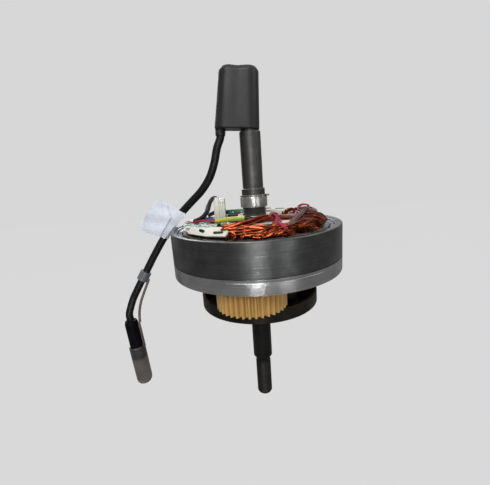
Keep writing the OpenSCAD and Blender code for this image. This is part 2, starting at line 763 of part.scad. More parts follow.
plate_z = gear_top + 0.4;
plate_screw_d = 3;
module carrier_plate() {
    color("#4a4945") difference() {
        ring(carrier_r, flange_r + 2, carrier_plate_t, plate_z);
        at_angles(planet_angles, planet_circle_r) translate([0, 0, plate_z - 1])
            cylinder(r = pin_d / 2 + running, h = carrier_plate_t + 2);
        at_angles(post_angles, post_r) translate([0, 0, plate_z + carrier_plate_t]) mirror([0, 0, 1])
            flush_hole(plate_screw_d, carrier_plate_t + 1);
    }
}

module carrier_screws() {
    color("#6b6b6b") at_angles(post_angles, post_r)
        translate([0, 0, plate_z + carrier_plate_t]) mirror([0, 0, 1])
        flush_screw(plate_screw_d, carrier_plate_t + 7);
}

module planet_pins() {
    color("#8c8d8f") at_angles(planet_angles, planet_circle_r)
        translate([0, 0, pin_low]) cylinder(d = pin_d, h = plate_z + carrier_plate_t - pin_low);
}

module planet_washers() {
    color("silver") at_angles(planet_angles, planet_circle_r)
        for (z = [gear_z - washer_t + 0.05, gear_top - 0.05])
            ring(pin_d / 2 + 2.2, pin_d / 2 + running, washer_t - 0.1, z);
}

module clutch_race() {
    color("#9a9b9d") difference() {
        ring(race_r, axle_r, clutch_h + 0.6, clutch_z - 0.3);
        translate([0, 0, clutch_z]) key_seat(axle_r, clutch_h);
    }
}

module clutch_key() { color("dimgray") translate([0, 0, clutch_z]) key(axle_r, clutch_h); }

module clutch_rollers() {
    color("silver") at_angles(spread(roller_count), race_r + 0.1 + roller_d / 2)
        translate([0, 0, clutch_z + 0.1]) cylinder(d = roller_d, h = clutch_h - 1.2);
}

module clutch_springs() {
    color("#b9bcc0") at_angles(spread(roller_count, 26), race_r + roller_d / 2)
        translate([0, -1.6, clutch_z + 1]) cube([0.6, 3.2, clutch_h - 2.6]);
}

module clutch_cover() {
    color("#55544f") ring(clutch_bore_r, race_r + 0.4, 0.8, clutch_z + clutch_h - 0.9);
}

module carrier_bearing() { color("silver") axle_bearing(carrier_bearing_z); }

module lower_circlip() {
    color("silver") translate([0, 0, carrier_bearing_z - circlip_t - 0.05])
        split_ring(axle_r + 2, axle_r - 0.55, circlip_t, 4);
}

// ---- planets ----

// Turn that puts a planet's tooth space over a sun tooth
function planet_turn(angle) = (angle * (sun_teeth + planet_teeth) / planet_teeth)
    + 180 - 180 / planet_teeth;

module planet_gear(i) {
    a = planet_angles[i];
    color("#cdbd94") rotate([0, 0, a]) translate([planet_circle_r, 0, gear_z])
        rotate([0, 0, planet_turn(a) - a]) difference() {
            linear_extrude(planet_w) polygon(gear_outline(planet_teeth));
            translate([0, 0, -1]) cylinder(d = planet_bearing_od + 0.1, h = planet_w + 2);
        }
}

module planet_bearing(i) {
    w = planet_w / 2 - 0.6;
    color("silver") rotate([0, 0, planet_angles[i]]) translate([planet_circle_r, 0, 0])
        for (z = [gear_z + 0.4, gear_top - 0.4 - w]) translate([0, 0, z])
            ball_bearing(pin_d / 2 + running, planet_bearing_od / 2, w, 7);
}

module planet_gear_1() { planet_gear(0); }
module planet_gear_2() { planet_gear(1); }
module planet_gear_3() { planet_gear(2); }
module planet_bearing_1() { planet_bearing(0); }
module planet_bearing_2() { planet_bearing(1); }
module planet_bearing_3() { planet_bearing(2); }

axle();
cable_cap();
cable_boot();
motor_cable();
cable_label();
plug_body();
plug_contacts();
dust_cap();
cap_strap();
axle_harness();
upper_circlip();
spacer_ring();
axle_seal();
stator_hub();
stator_key();
stator_core();
upper_insulator();
lower_insulator();
stator_coils();
copper_leads();
lead_sleeve();
crimson_lead();
flat_braid();
sensor_board();
sensor_chips();
lead_board();
board_connector();
sensor_wires();
splice_block();
rotor_ring();
rotor_magnets();
rotor_plate();
rotor_screws();
sun_gear();
sun_screws();
low_rotor_bearing();
high_rotor_bearing();
carrier_cup();
carrier_posts();
carrier_plate();
carrier_screws();
planet_pins();
planet_washers();
clutch_race();
clutch_key();
clutch_rollers();
clutch_springs();
clutch_cover();
carrier_bearing();
lower_circlip();
planet_gear_1();
planet_gear_2();
planet_gear_3();
planet_bearing_1();
planet_bearing_2();
planet_bearing_3();
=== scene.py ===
"""Geared outrunner motor: finishes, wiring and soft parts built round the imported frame."""

import json
import logging
import math
import random
from collections.abc import Callable, Iterable, Sequence
from dataclasses import dataclass, field
from enum import Enum

import bmesh
import bpy
from mathutils import Matrix, Vector


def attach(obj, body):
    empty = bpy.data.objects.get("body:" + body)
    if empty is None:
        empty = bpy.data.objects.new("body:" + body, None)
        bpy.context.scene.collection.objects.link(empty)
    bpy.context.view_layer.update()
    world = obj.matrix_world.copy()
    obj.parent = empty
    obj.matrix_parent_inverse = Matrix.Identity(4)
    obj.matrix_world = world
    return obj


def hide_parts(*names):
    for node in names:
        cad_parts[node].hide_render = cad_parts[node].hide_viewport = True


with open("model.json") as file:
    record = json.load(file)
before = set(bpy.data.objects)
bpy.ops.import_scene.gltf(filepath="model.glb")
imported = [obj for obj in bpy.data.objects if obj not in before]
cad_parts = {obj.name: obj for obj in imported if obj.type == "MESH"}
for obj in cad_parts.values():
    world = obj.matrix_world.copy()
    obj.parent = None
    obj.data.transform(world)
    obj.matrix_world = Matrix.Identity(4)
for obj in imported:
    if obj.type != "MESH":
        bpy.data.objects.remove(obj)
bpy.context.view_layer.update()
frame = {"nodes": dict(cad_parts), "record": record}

LOG = logging.getLogger("outrunner_motor")
MM = 0.001
Point = tuple[float, float, float]
Color = tuple[float, float, float]
Outline = tuple[tuple[float, float], ...]

# Corners closer than this many metres are one: in own shapes, and in the frame's loose triangles.
WELD, NODE_WELD = 1e-7, 2e-6
# Degrees from which an edge is drawn sharp: on moulded pieces, on cut ones and wires, and on flat ones.
SOFT_ANGLE, CUT_ANGLE, FLAT_ANGLE = 32.0, 50.0, 60.0
# Degrees from which an edge of a frame node is rounded.
EDGE_ANGLE = 40.0


def mm(*values: float) -> Vector:
    """Returns a point given in millimetres as a vector in metres."""
    return Vector(values) * MM


def moved(*values: float) -> Matrix:
    """Returns a move to a point given in millimetres."""
    return Matrix.Translation(mm(*values))


def rotated(degrees: float, axis: str) -> Matrix:
    """Returns a turn about an axis."""
    return Matrix.Rotation(math.radians(degrees), 4, axis)


def linked(name: str, data: bpy.types.ID) -> bpy.types.Object:
    """Returns a new object that holds the data and is in the scene."""
    item = bpy.data.objects.new(name, data)
    bpy.context.scene.collection.objects.link(item)
    return item


class Body(Enum):
    """Rigid bodies that the pieces move with."""

    STATOR = "stator"
    ROTOR = "rotor"
    CARRIER = "carrier"


# ---------------------------------------------------------------- materials


class Graph:
    """Short way to lay shader nodes into a tree and join them."""

    def __init__(self, tree: bpy.types.NodeTree) -> None:
        """Keeps the tree that nodes are added to."""
        self.tree = tree

    def add(self, kind: str, **settings: object) -> bpy.types.Node:
        """Adds a node.

        Args:
            kind: Type of the node, without its ShaderNode prefix.
            settings: Properties to set on the node.

        Returns:
            The new node.
        """
        node = self.tree.nodes.new("ShaderNode" + kind)
        for name, value in settings.items():
            setattr(node, name, value)
        return node

    def feed(self, socket: bpy.types.NodeSocket, value: object) -> None:
        """Feeds a socket.

        Args:
            socket: The socket.
            value: Another socket to link to it, or a constant to set it to.
        """
        if isinstance(value, bpy.types.NodeSocket):
            self.tree.links.new(value, socket)
        elif isinstance(value, tuple) and len(value) == 3 and socket.type == "RGBA":
            socket.default_value = (*value, 1.0)
        else:
            socket.default_value = value

    def math(self, operation: str, first: object, second: object = 0.0) -> bpy.types.NodeSocket:
        """Lays an arithmetic step.

        Args:
            operation: Name of the step.
            first: First number or socket.
            second: Second number or socket.

        Returns:
            The socket with the result.
        """
        node = self.add("Math", operation=operation)
        self.feed(node.inputs[0], first)
        self.feed(node.inputs[1], second)
        return node.outputs[0]

    def blend(self, mask: object, low: object, high: object) -> bpy.types.NodeSocket:
        """Blends two colours.

        Args:
            mask: Share of the second colour.
            low: First colour or socket.
            high: Second colour or socket.

        Returns:
            The socket with the blend.
        """
        node = self.add("Mix", data_type="RGBA")
        self.feed(node.inputs[0], mask)
        self.feed(node.inputs[6], low)
        self.feed(node.inputs[7], high)
        return node.outputs[2]

    def between(self, value: object, low: object, high: object) -> bpy.types.NodeSocket:
        """Returns a number carried from the 0 to 1 range into another one."""
        node = self.add("MapRange")
        self.feed(node.inputs["Value"], value)
        self.feed(node.inputs["To Min"], low)
        self.feed(node.inputs["To Max"], high)
        return node.outputs[0]

    def ramp(self, value: object, start: float, end: float) -> bpy.types.NodeSocket:
        """Returns 0 below start and 1 above end, with a smooth step between them."""
        node = self.add("MapRange", interpolation_type="SMOOTHSTEP")
        self.feed(node.inputs["Value"], value)
        node.inputs["From Min"].default_value = start
        node.inputs["From Max"].default_value = end
        return node.outputs[0]

    def noise(self, vector: object, scale: float, detail: float = 3.0,
              rough: float = 0.55) -> bpy.types.NodeSocket:
        """Lays a noise texture.

        Args:
            vector: Where it is read.
            scale: How many of its cells a metre holds.
            detail: How many finer layers it has.
            rough: How strong the finer layers are.

        Returns:
            The socket with the noise.
        """
        node = self.add("TexNoise")
        self.feed(node.inputs["Vector"], vector)
        node.inputs["Scale"].default_value = scale
        node.inputs["Detail"].default_value = detail
        node.inputs["Roughness"].default_value = rough
        return node.outputs["Fac"]


class Effects:
    """Surface effects that several finishes share, each a node group built once."""

    groups: dict[str, bpy.types.NodeTree] = {}

    @classmethod
    def group(cls, name: str, sockets: Sequence[tuple[str, str, float | None]],
              wire: Callable[[Graph, bpy.types.Node, bpy.types.Node], None]) -> bpy.types.NodeTree:
        """Builds a node group once.

        Args:
            name: Name of the effect.
            sockets: Name, socket type and default of each input; a default of None marks an output.
            wire: Lays the nodes between the group's input and output nodes.

        Returns:
            The group's node tree.
        """
        if name not in cls.groups:
            tree = bpy.data.node_groups.new(name, "ShaderNodeTree")
            for label, kind, default in sockets:
                way = "OUTPUT" if default is None else "INPUT"
                item = tree.interface.new_socket(label, in_out=way, socket_type="NodeSocket" + kind)
                if default is not None and kind == "Float":
                    item.default_value = default
            graph = Graph(tree)
            wire(graph, tree.nodes.new("NodeGroupInput"), tree.nodes.new("NodeGroupOutput"))
            cls.groups[name] = tree
        return cls.groups[name]

    @classmethod
    def turned_lines(cls) -> bpy.types.NodeTree:
        """Returns the effect of a lathe tool: fine lines round the axle's axis."""

        def wire(graph: Graph, source: bpy.types.Node, sink: bpy.types.Node) -> None:
            split = graph.add("SeparateXYZ")
            graph.feed(split.inputs[0], source.outputs["Vector"])
            flat = graph.add("CombineXYZ")
            graph.feed(flat.inputs[0], split.outputs[0])
            graph.feed(flat.inputs[1], split.outputs[1])
            length = graph.add("VectorMath", operation="LENGTH")
            graph.feed(length.inputs[0], flat.outputs[0])
            around = graph.math("ARCTAN2", split.outputs[1], split.outputs[0])
            place = graph.add("CombineXYZ")
            graph.feed(place.inputs[0], graph.math("MULTIPLY", length.outputs["Value"],
                                                   source.outputs["Pitch"]))
            graph.feed(place.inputs[1], graph.math("MULTIPLY", split.outputs[2], source.outputs["Pitch"]))
            graph.feed(place.inputs[2], graph.math("MULTIPLY", around, 0.35))
            graph.feed(sink.inputs["Lines"], graph.noise(place.outputs[0], 1.0, 4.0, 0.7))

        return cls.group("turned lines", [("Vector", "Vector", 0.0), ("Pitch", "Float", 1500.0),
                                          ("Lines", "Float", None)], wire)

    @classmethod
    def grime(cls) -> bpy.types.NodeTree:
        """Returns the effect of oil and dust: soft patches of two sizes."""

        def wire(graph: Graph, source: bpy.types.Node, sink: bpy.types.Node) -> None:
            wide = graph.noise(source.outputs["Vector"], 38.0, 4.0, 0.6)
            small = graph.noise(source.outputs["Vector"], 260.0, 3.0, 0.65)
            both = graph.math("ADD", graph.math("MULTIPLY", wide, 0.7), graph.math("MULTIPLY", small, 0.3))
            edge = graph.math("SUBTRACT", 0.78, graph.math("MULTIPLY", source.outputs["Amount"], 0.5))
            rise = graph.math("SUBTRACT", both, edge)
            graph.feed(sink.inputs["Mask"], graph.ramp(graph.math("MULTIPLY", rise, 5.0), 0.0, 1.0))

        return cls.group("grime", [("Vector", "Vector", 0.0), ("Amount", "Float", 0.5), ("Mask", "Float",
                                                                                         None)], wire)

    @classmethod
    def edge_wear(cls) -> bpy.types.NodeTree:
        """Returns the effect of rubbing: a broken line along outer edges."""

        def wire(graph: Graph, source: bpy.types.Node, sink: bpy.types.Node) -> None:
            bevel = graph.add("Bevel", samples=4)
            graph.feed(bevel.inputs["Radius"], source.outputs["Width"])
            face = graph.add("NewGeometry")
            dot = graph.add("VectorMath", operation="DOT_PRODUCT")
            graph.feed(dot.inputs[0], bevel.outputs[0])
            graph.feed(dot.inputs[1], face.outputs["Normal"])
            turn = graph.math("SUBTRACT", 1.0, dot.outputs["Value"])
            broken = graph.noise(source.outputs["Vector"], 700.0, 2.0, 0.6)
            worn = graph.math("MULTIPLY", graph.math("MULTIPLY", turn, 6.0), graph.math("ADD", broken, 0.25))
            graph.feed(sink.inputs["Mask"], graph.ramp(worn, 0.05, 0.6))

        return cls.group("edge wear", [("Vector", "Vector", 0.0), ("Width", "Float", 0.0004), ("Mask",
                                                                                               "Float",
                                                                                               None)], wire)

    @classmethod
    def fine_grain(cls) -> bpy.types.NodeTree:
        """Returns the effect of a moulded or cast skin: a fine, even roughness."""

        def wire(graph: Graph, source: bpy.types.Node, sink: bpy.types.Node) -> None:
            place = graph.add("VectorMath", operation="SCALE")
            graph.feed(place.inputs[0], source.outputs["Vector"])
            graph.feed(place.inputs["Scale"], source.outputs["Scale"])
            graph.feed(sink.inputs["Height"], graph.noise(place.outputs[0], 1.0, 2.0, 0.6))

        return cls.group("fine grain", [("Vector", "Vector", 0.0), ("Scale", "Float", 2500.0),
                                        ("Height", "Float", None)], wire)


# How the effects show in every finish: where a mask starts and ends, and how much it changes.
PATCH_EDGES = (0.3, 0.7)
LINE_EDGES = (0.35, 0.75)
LINE_DULLS, LINE_ROUGHS, LINE_RELIEF = 0.55, 0.12, 1.5
WEAR_WIDTH = 0.0005
GRIME_COVERS, GRIME_ROUGHS = 0.85, 0.12
BUMP_DISTANCE = 0.0002
COAT_ROUGHNESS, SUBSURFACE_SCALE = 0.2, 0.002


@dataclass(frozen=True)
class Finish:
    """A surface: its colours, how it shines, and what has happened to it."""

    name: str
    color: Color
    shade: Color
    roughness: float = 0.5
    rough_change: float = 0.12
    metallic: float = 0.0
    lines: float = 0.0
    line_pitch: float = 1500.0
    grime: float = 0.0
    grime_color: Color = (0.05, 0.035, 0.02)
    wear: float = 0.0
    wear_color: Color = (0.6, 0.6, 0.6)
    grain: float = 0.15
    grain_scale: float = 2500.0
    patch_scale: float = 90.0
    coat: float = 0.0
    transmission: float = 0.0
    subsurface: float = 0.0
    sheen: float = 0.0
    alpha: float = 1.0
    specular: float = 0.5

    def effect(self, graph: Graph, tree: bpy.types.NodeTree, place: bpy.types.NodeSocket,
               **values: float) -> bpy.types.NodeSocket:
        """Places a shared effect with this finish's values and returns its output."""
        node = graph.add("Group")
        node.node_tree = tree
        graph.feed(node.inputs["Vector"], place)
        for label, value in values.items():
            node.inputs[label].default_value = value
        return node.outputs[0]

    def build(self) -> bpy.types.Material:
        """Returns the finish as a material, made on first use."""
        made = bpy.data.materials.get(self.name)
        if made is not None:
            return made
        material = bpy.data.materials.new(self.name)
        material.use_nodes = True
        graph = Graph(material.node_tree)
        shader = material.node_tree.nodes["Principled BSDF"]
        place = graph.add("TexCoord").outputs["Object"]
        patches = graph.noise(place, self.patch_scale, 4.0, 0.6)
        color = graph.blend(graph.ramp(patches, *PATCH_EDGES), self.color, self.shade)
        rough = graph.between(patches, self.roughness - self.rough_change,
                              self.roughness + self.rough_change)
        height = self.effect(graph, Effects.fine_grain(), place, Scale=self.grain_scale)
        if self.lines:
            lines = self.effect(graph, Effects.turned_lines(), place, Pitch=self.line_pitch)
            dull = tuple(part * (1 - LINE_DULLS * self.lines) for part in self.shade)
            shown = graph.math("MULTIPLY", graph.ramp(lines, *LINE_EDGES), self.lines)
            color = graph.blend(shown, color, dull)
            rough = graph.math("ADD", rough, graph.between(lines, -LINE_ROUGHS * self.lines,
                                                           LINE_ROUGHS * self.lines))
            height = graph.math("ADD", height, graph.math("MULTIPLY", lines, LINE_RELIEF * self.lines))
        if self.wear:
            worn = self.effect(graph, Effects.edge_wear(), place, Width=WEAR_WIDTH)
            color = graph.blend(graph.math("MULTIPLY", worn, self.wear), color, self.wear_color)
        if self.grime:
            dirt = self.effect(graph, Effects.grime(), place, Amount=self.grime)
            color = graph.blend(graph.math("MULTIPLY", dirt, GRIME_COVERS), color, self.grime_color)
            rough = graph.math("ADD", rough, graph.math("MULTIPLY", dirt, GRIME_ROUGHS))
        bump = graph.add("Bump")
        bump.inputs["Strength"].default_value = self.grain
        bump.inputs["Distance"].default_value = BUMP_DISTANCE
        graph.feed(bump.inputs["Height"], height)
        for label, value in (
                ("Base Color", color), ("Roughness", rough), ("Normal", bump.outputs[0]),
                ("Metallic", self.metallic), ("Coat Weight", self.coat), ("Coat Roughness", COAT_ROUGHNESS),
                ("Transmission Weight", self.transmission), ("Subsurface Weight", self.subsurface),
                ("Subsurface Scale", SUBSURFACE_SCALE), ("Sheen Weight", self.sheen), ("Alpha", self.alpha),
                ("Specular IOR Level", self.specular)):
            graph.feed(shader.inputs[label], value)
        return material


ROTOR_STEEL = Finish("turned steel", (0.17, 0.172, 0.172), (0.105, 0.106, 0.106), 0.3, 0.06, 1.0, 0.7,
                     2600.0, 0.34, (0.06, 0.05, 0.04), 0.8, (0.5, 0.5, 0.5), 0.22)
ROTOR_ALUMINIUM = Finish("turned aluminium", (0.6, 0.6, 0.6), (0.46, 0.46, 0.46), 0.22, 0.06, 1.0, 0.6,
                         3200.0, 0.34, (0.13, 0.11, 0.08), 0.5, (0.6, 0.6, 0.6), 0.2)
HUB_ALUMINIUM = Finish("hub aluminium", (0.6, 0.6, 0.59), (0.45, 0.45, 0.45), 0.38, 0.08, 1.0, 0.4, 2400.0,
                       0.4, (0.16, 0.14, 0.11), 0.4, (0.8, 0.8, 0.8), 0.2)
AXLE_STEEL = Finish("axle steel", (0.125, 0.124, 0.118), (0.085, 0.084, 0.08), 0.42, 0.08, 1.0, 0.35,
                    1800.0, 0.3, (0.07, 0.055, 0.04), 0.7, (0.6, 0.58, 0.55), 0.25)
# Near-black steel for the lower axle end, much darker than the axle above it.
AXLE_LOWER_DARK = Finish("dark lower axle steel", (0.016, 0.015, 0.014), (0.008, 0.0078, 0.0075), 0.42, 0.1, 0.5,
                    0.3, 1600.0, 0.3, (0.03, 0.022, 0.014), 0.5, (0.12, 0.11, 0.1), 0.3, specular=0.3)
BRIGHT_STEEL = Finish("ground steel", (0.62, 0.62, 0.6), (0.5, 0.5, 0.49), 0.3, 0.08, 1.0, 0.3, 2600.0,
                      0.25, (0.2, 0.17, 0.13), 0.5, (0.85, 0.85, 0.85), 0.15)
SPRING_STEEL = Finish("spring steel", (0.3, 0.3, 0.3), (0.2, 0.2, 0.2), 0.35, 0.1, 1.0, 0.0, 1500.0, 0.3,
                      wear=0.6)
CARRIER_STEEL = Finish("greased black steel", (0.04, 0.035, 0.027), (0.02, 0.017, 0.013), 0.42, 0.14, 0.85,
                       0.25, 900.0, 0.62, (0.05, 0.031, 0.013), 0.7, (0.1, 0.095, 0.085), 0.4, specular=0.3)
GEAR_STEEL = Finish("hardened steel", (0.3, 0.3, 0.3), (0.2, 0.2, 0.2), 0.32, 0.1, 1.0, 0.0, 1500.0, 0.5,
                    (0.06, 0.045, 0.03), 0.5, (0.6, 0.6, 0.6), 0.2)
SCREW_STEEL = Finish("screw steel", (0.35, 0.35, 0.35), (0.22, 0.22, 0.22), 0.38, 0.1, 1.0, 0.0, 1500.0, 0.4)
LAMINATION = Finish("lamination steel", (0.12, 0.12, 0.125), (0.06, 0.06, 0.065), 0.5, 0.1, 0.9, 0.0,
                    1500.0, 0.5)
MAGNET = Finish("magnet plating", (0.26, 0.275, 0.3), (0.15, 0.16, 0.18), 0.34, 0.1, 1.0, 0.0, 1500.0, 0.35,
                (0.1, 0.12, 0.15))
NYLON = Finish("beige nylon", (0.54, 0.33, 0.105), (0.44, 0.25, 0.07), 0.44, 0.08, grime=0.3,
               grime_color=(0.2, 0.1, 0.03), grain=0.1, patch_scale=60.0, subsurface=0.15, coat=0.1)
CAP_RUBBER = Finish("cap rubber", (0.014, 0.0145, 0.016), (0.008, 0.008, 0.009), 0.42, 0.08, grime=0.25,
                    grime_color=(0.03, 0.03, 0.03), grain=0.35, grain_scale=1800.0, specular=0.4)
CABLE_JACKET = Finish("cable jacket", (0.006, 0.006, 0.0075), (0.004, 0.004, 0.005), 0.34, 0.06, grain=0.12,
                      specular=0.28)
PLUG_RUBBER = Finish("plug rubber", (0.004, 0.004, 0.0055), (0.003, 0.003, 0.004), 0.5, 0.08, grain=0.2,
                     specular=0.06)
DARK_DUST_RUBBER = Finish("clear rubber over the neck", (0.035, 0.036, 0.038), (0.022, 0.022, 0.024), 0.34,
                          0.08, grain=0.12, grain_scale=1500.0, coat=0.2)
DUST_RUBBER = Finish("clear grey rubber", (0.2, 0.165, 0.135), (0.14, 0.115, 0.095), 0.34, 0.08, grain=0.12,
                     grain_scale=1500.0, transmission=0.55, coat=0.2, alpha=0.9)
BAND_RUBBER = Finish("grey band rubber", (0.13, 0.135, 0.14), (0.09, 0.095, 0.1), 0.35, 0.08, grain=0.12,
                     coat=0.2)
PAPER = Finish("label paper", (0.8, 0.84, 0.93), (0.7, 0.75, 0.85), 0.6, 0.05, grain=0.12,
               grain_scale=4000.0, patch_scale=160.0)
SEAL_RUBBER = Finish("oily seal", (0.035, 0.033, 0.03), (0.02, 0.019, 0.018), 0.35, 0.1, grime=0.4,
                     grime_color=(0.09, 0.08, 0.065), grain=0.3)
COPPER = Finish("bright copper wire", (0.4, 0.075, 0.018), (0.13, 0.018, 0.006), 0.24, 0.1, 0.85, grain=0.1,
                patch_scale=300.0, grime=0.35, grime_color=(0.05, 0.01, 0.005), coat=0.1)
DARK_COPPER = Finish("dark copper wire", (0.13, 0.03, 0.015), (0.06, 0.014, 0.008), 0.34, 0.1, 0.6,
                     grain=0.1, patch_scale=200.0, coat=0.35)
RED_COPPER = Finish("red copper wire", (0.2, 0.03, 0.012), (0.09, 0.013, 0.006), 0.3, 0.1, 0.75, grain=0.1,
                    patch_scale=220.0, coat=0.1, grime=0.3, grime_color=(0.02, 0.006, 0.004))
COIL_COPPER = Finish("coil copper", (0.36, 0.075, 0.022), (0.19, 0.034, 0.012), 0.32, 0.1, 0.8, grain=0.1,
                     patch_scale=160.0, grime=0.4, grime_color=(0.12, 0.03, 0.015), coat=0.35)
BRAID = Finish("brown braid", (0.085, 0.026, 0.015), (0.035, 0.011, 0.007), 0.45, 0.1, grain=0.3, coat=0.1,
               specular=0.35)
CRIMSON = Finish("crimson lacing", (0.36, 0.006, 0.045), (0.2, 0.004, 0.022), 0.5, 0.1, grain=0.3, sheen=0.2)
PINK = Finish("faded pink lead", (0.6, 0.2, 0.25), (0.45, 0.12, 0.17), 0.5, 0.1, grain=0.2)
YELLOW = Finish("yellow sleeve", (0.5, 0.52, 0.02), (0.36, 0.38, 0.012), 0.35, 0.08, grain=0.12, coat=0.3)
BLUE = Finish("blue lead", (0.015, 0.05, 0.42), (0.01, 0.03, 0.28), 0.36, 0.08, grain=0.1)
DARK_WIRE = Finish("dark wire", (0.014, 0.01, 0.01), (0.008, 0.006, 0.006), 0.4, 0.1, grain=0.12,
                   specular=0.3)
BROWN_WIRE = Finish("brown wire", (0.05, 0.02, 0.012), (0.025, 0.011, 0.008), 0.42, 0.1, grain=0.12,
                    specular=0.3)
GREEN_BOARD = Finish("solder mask", (0.012, 0.16, 0.085), (0.008, 0.1, 0.055), 0.3, 0.08, grain=0.1,
                     coat=0.4, grime=0.2, grime_color=(0.1, 0.12, 0.08))
CHIP = Finish("chip plastic", (0.015, 0.015, 0.016), (0.01, 0.01, 0.01), 0.45, 0.08, grain=0.25)
SOLDER = Finish("solder", (0.6, 0.6, 0.58), (0.4, 0.4, 0.39), 0.25, 0.08, 1.0)
WHITE_NYLON = Finish("white nylon", (0.69, 0.7, 0.64), (0.62, 0.6, 0.52), 0.38, 0.08, grain=0.1, grime=0.22,
                     grime_color=(0.4, 0.34, 0.22), subsurface=0.2)
INSULATOR = Finish("insulator white", (0.2, 0.19, 0.16), (0.09, 0.08, 0.065), 0.45, 0.08, grain=0.15,
                   grime=0.6, grime_color=(0.03, 0.022, 0.015))
RESIN = Finish("cloudy resin", (0.42, 0.56, 0.48), (0.09, 0.2, 0.15), 0.36, 0.08, grain=0.15,
               grain_scale=900.0, patch_scale=240.0, transmission=0.35, coat=0.15, alpha=0.92)
GOLD = Finish("gold plating", (0.8, 0.55, 0.2), (0.65, 0.42, 0.14), 0.25, 0.05, 1.0)
PALE_PLASTIC = Finish("grey plate", (0.4, 0.42, 0.43), (0.28, 0.29, 0.3), 0.4, 0.08, grain=0.15, grime=0.3)
FLOOR = Finish("studio floor", (0.02, 0.02, 0.02), (0.02, 0.02, 0.02), 0.95, 0.02, grain=0.0)


# ---------------------------------------------------------------- mesh tools


class Workshop:
    """Turns bmeshes, swept lines and copies of frame nodes into finished pieces."""

    @staticmethod
    def flatten(piece: bpy.types.Object) -> bpy.types.Object:
        """Keeps wide faces flat in the shading, so that only the rounded edges curve."""
        weigh = piece.modifiers.new("flat_faces", "WEIGHTED_NORMAL")
        weigh.keep_sharp = True
        weigh.weight = 100
        return piece

    @staticmethod
    def shade(mesh: bpy.types.Mesh, angle: float) -> None:
        """Shades a mesh smooth, with creases where faces turn by more than an angle in degrees."""
        mesh.polygons.foreach_set("use_smooth", [True] * len(mesh.polygons))
        mesh.set_sharp_from_angle(angle=math.radians(angle))

    @staticmethod
    def to_mesh(name: str, shape: bmesh.types.BMesh) -> bpy.types.Mesh:
        """Returns a bmesh as a mesh, and frees it."""
        mesh = bpy.data.meshes.new(name)
        shape.to_mesh(mesh)
        shape.free()
        return mesh

    @staticmethod
    def place(name: str, mesh: bpy.types.Mesh, finish: Finish, nodes: Sequence[str] = (),
              slot: str | None = None, body: Body | str = Body.STATOR) -> bpy.types.Object:
        """Makes a piece out of a mesh and ties it to the frame.

        Args:
            name: Name of the piece.
            mesh: Its mesh, in metres in the frame.
            finish: Its surface.
            nodes: Frame nodes that it is shown in place of.
            slot: Not used.
            body: The body that it moves with.

        Returns:
            The new object.
        """
        piece = linked(name, mesh)
        mesh.materials.clear()
        mesh.materials.append(finish.build())
        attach(piece, body.value if isinstance(body, Body) else body)
        if nodes:
            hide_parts(*nodes)
        LOG.info("%s: %d faces", name, len(mesh.polygons))
        return piece

    @classmethod
    def from_bmesh(cls, name: str, shape: bmesh.types.BMesh, finish: Finish, nodes: Sequence[str] = (),
                   slot: str | None = None, angle: float = SOFT_ANGLE, body: Body | str = Body.STATOR,
                   ) -> bpy.types.Object:
        """Finishes a bmesh as a piece with outward faces and smooth shading.

        Args:
            name: Name of the piece.
            shape: The bmesh, which is freed.
            finish: Its surface.
            nodes: Frame nodes that it is shown in place of.
            slot: Not used.
            angle: Turn in degrees from which an edge is drawn sharp.
            body: The body that it moves with.

        Returns:
            The new object.
        """
        bmesh.ops.remove_doubles(shape, verts=shape.verts, dist=WELD)
        bmesh.ops.recalc_face_normals(shape, faces=shape.faces)
        mesh = cls.to_mesh(name, shape)
        cls.shade(mesh, angle)
        return cls.place(name, mesh, finish, nodes, slot, body)

    @staticmethod
    def spin(profile: Sequence[tuple[float, float]], steps: int = 128, into: bmesh.types.BMesh | None = None,
             ) -> bmesh.types.BMesh:
        """Spins a closed outline of radius and height, in millimetres, round the axle's axis.

        Args:
            profile: Corners of the outline; those at radius 0 lie on the axis.
            steps: Number of steps in the turn.
            into: A bmesh to add to; a new one if None.

        Returns:
            The bmesh that holds the spun shape.
        """
        shape = into or bmesh.new()
        corners = [shape.verts.new(mm(radius, 0.0, height)) for radius, height in profile]
        edges = [shape.edges.new((a, b)) for a, b in zip(corners, corners[1:] + corners[:1])
                 if a.co.x > 0 or b.co.x > 0]
        bmesh.ops.spin(shape, geom=corners + edges, axis=(0, 0, 1), cent=(0, 0, 0), angle=2 * math.pi,
                       steps=steps, use_merge=True)
        bmesh.ops.remove_doubles(shape, verts=shape.verts, dist=WELD)
        return shape

    @staticmethod
    def block(shape: bmesh.types.BMesh, size: Point, matrix: Matrix, bevel: float = 0.3,
              segments: int = 2) -> None:
        """Adds a block with rounded edges to a bmesh.

        Args:
            shape: The bmesh.
            size: Size of the block along each of its axes, in millimetres.
            matrix: Where its middle lies and how it is turned.
            bevel: Width of the rounding, in millimetres.
            segments: Number of steps in the rounding.
        """
        made = bmesh.ops.create_cube(shape, size=1.0)["verts"]
        bmesh.ops.scale(shape, vec=mm(*size), verts=made)
        edges = list({edge for vert in made for edge in vert.link_edges})
        rounded = bmesh.ops.bevel(shape, geom=edges, offset=bevel * MM, segments=segments, profile=0.5,
                                  affect="EDGES", clamp_overlap=True, material=-1)
        island = {vert for face in rounded["faces"] for vert in face.verts} | {v for v in made if v.is_valid}
        bmesh.ops.transform(shape, matrix=matrix, verts=list(island))

    @classmethod
    def blocks(cls, name: str, parts: Iterable[tuple], finish: Finish, nodes: Sequence[str] = (),
               slot: str | None = None) -> bpy.types.Object:
        """Makes a piece of blocks.

        Args:
            name: Name of the piece.
            parts: What block() is told about each one, after the bmesh.
            finish: Its surface.
            nodes: Frame nodes that it is shown in place of.
            slot: Not used.

        Returns:
            The new object.
        """
        shape = bmesh.new()
        for part in parts:
            cls.block(shape, *part)
        return cls.from_bmesh(name, shape, finish, nodes, slot)

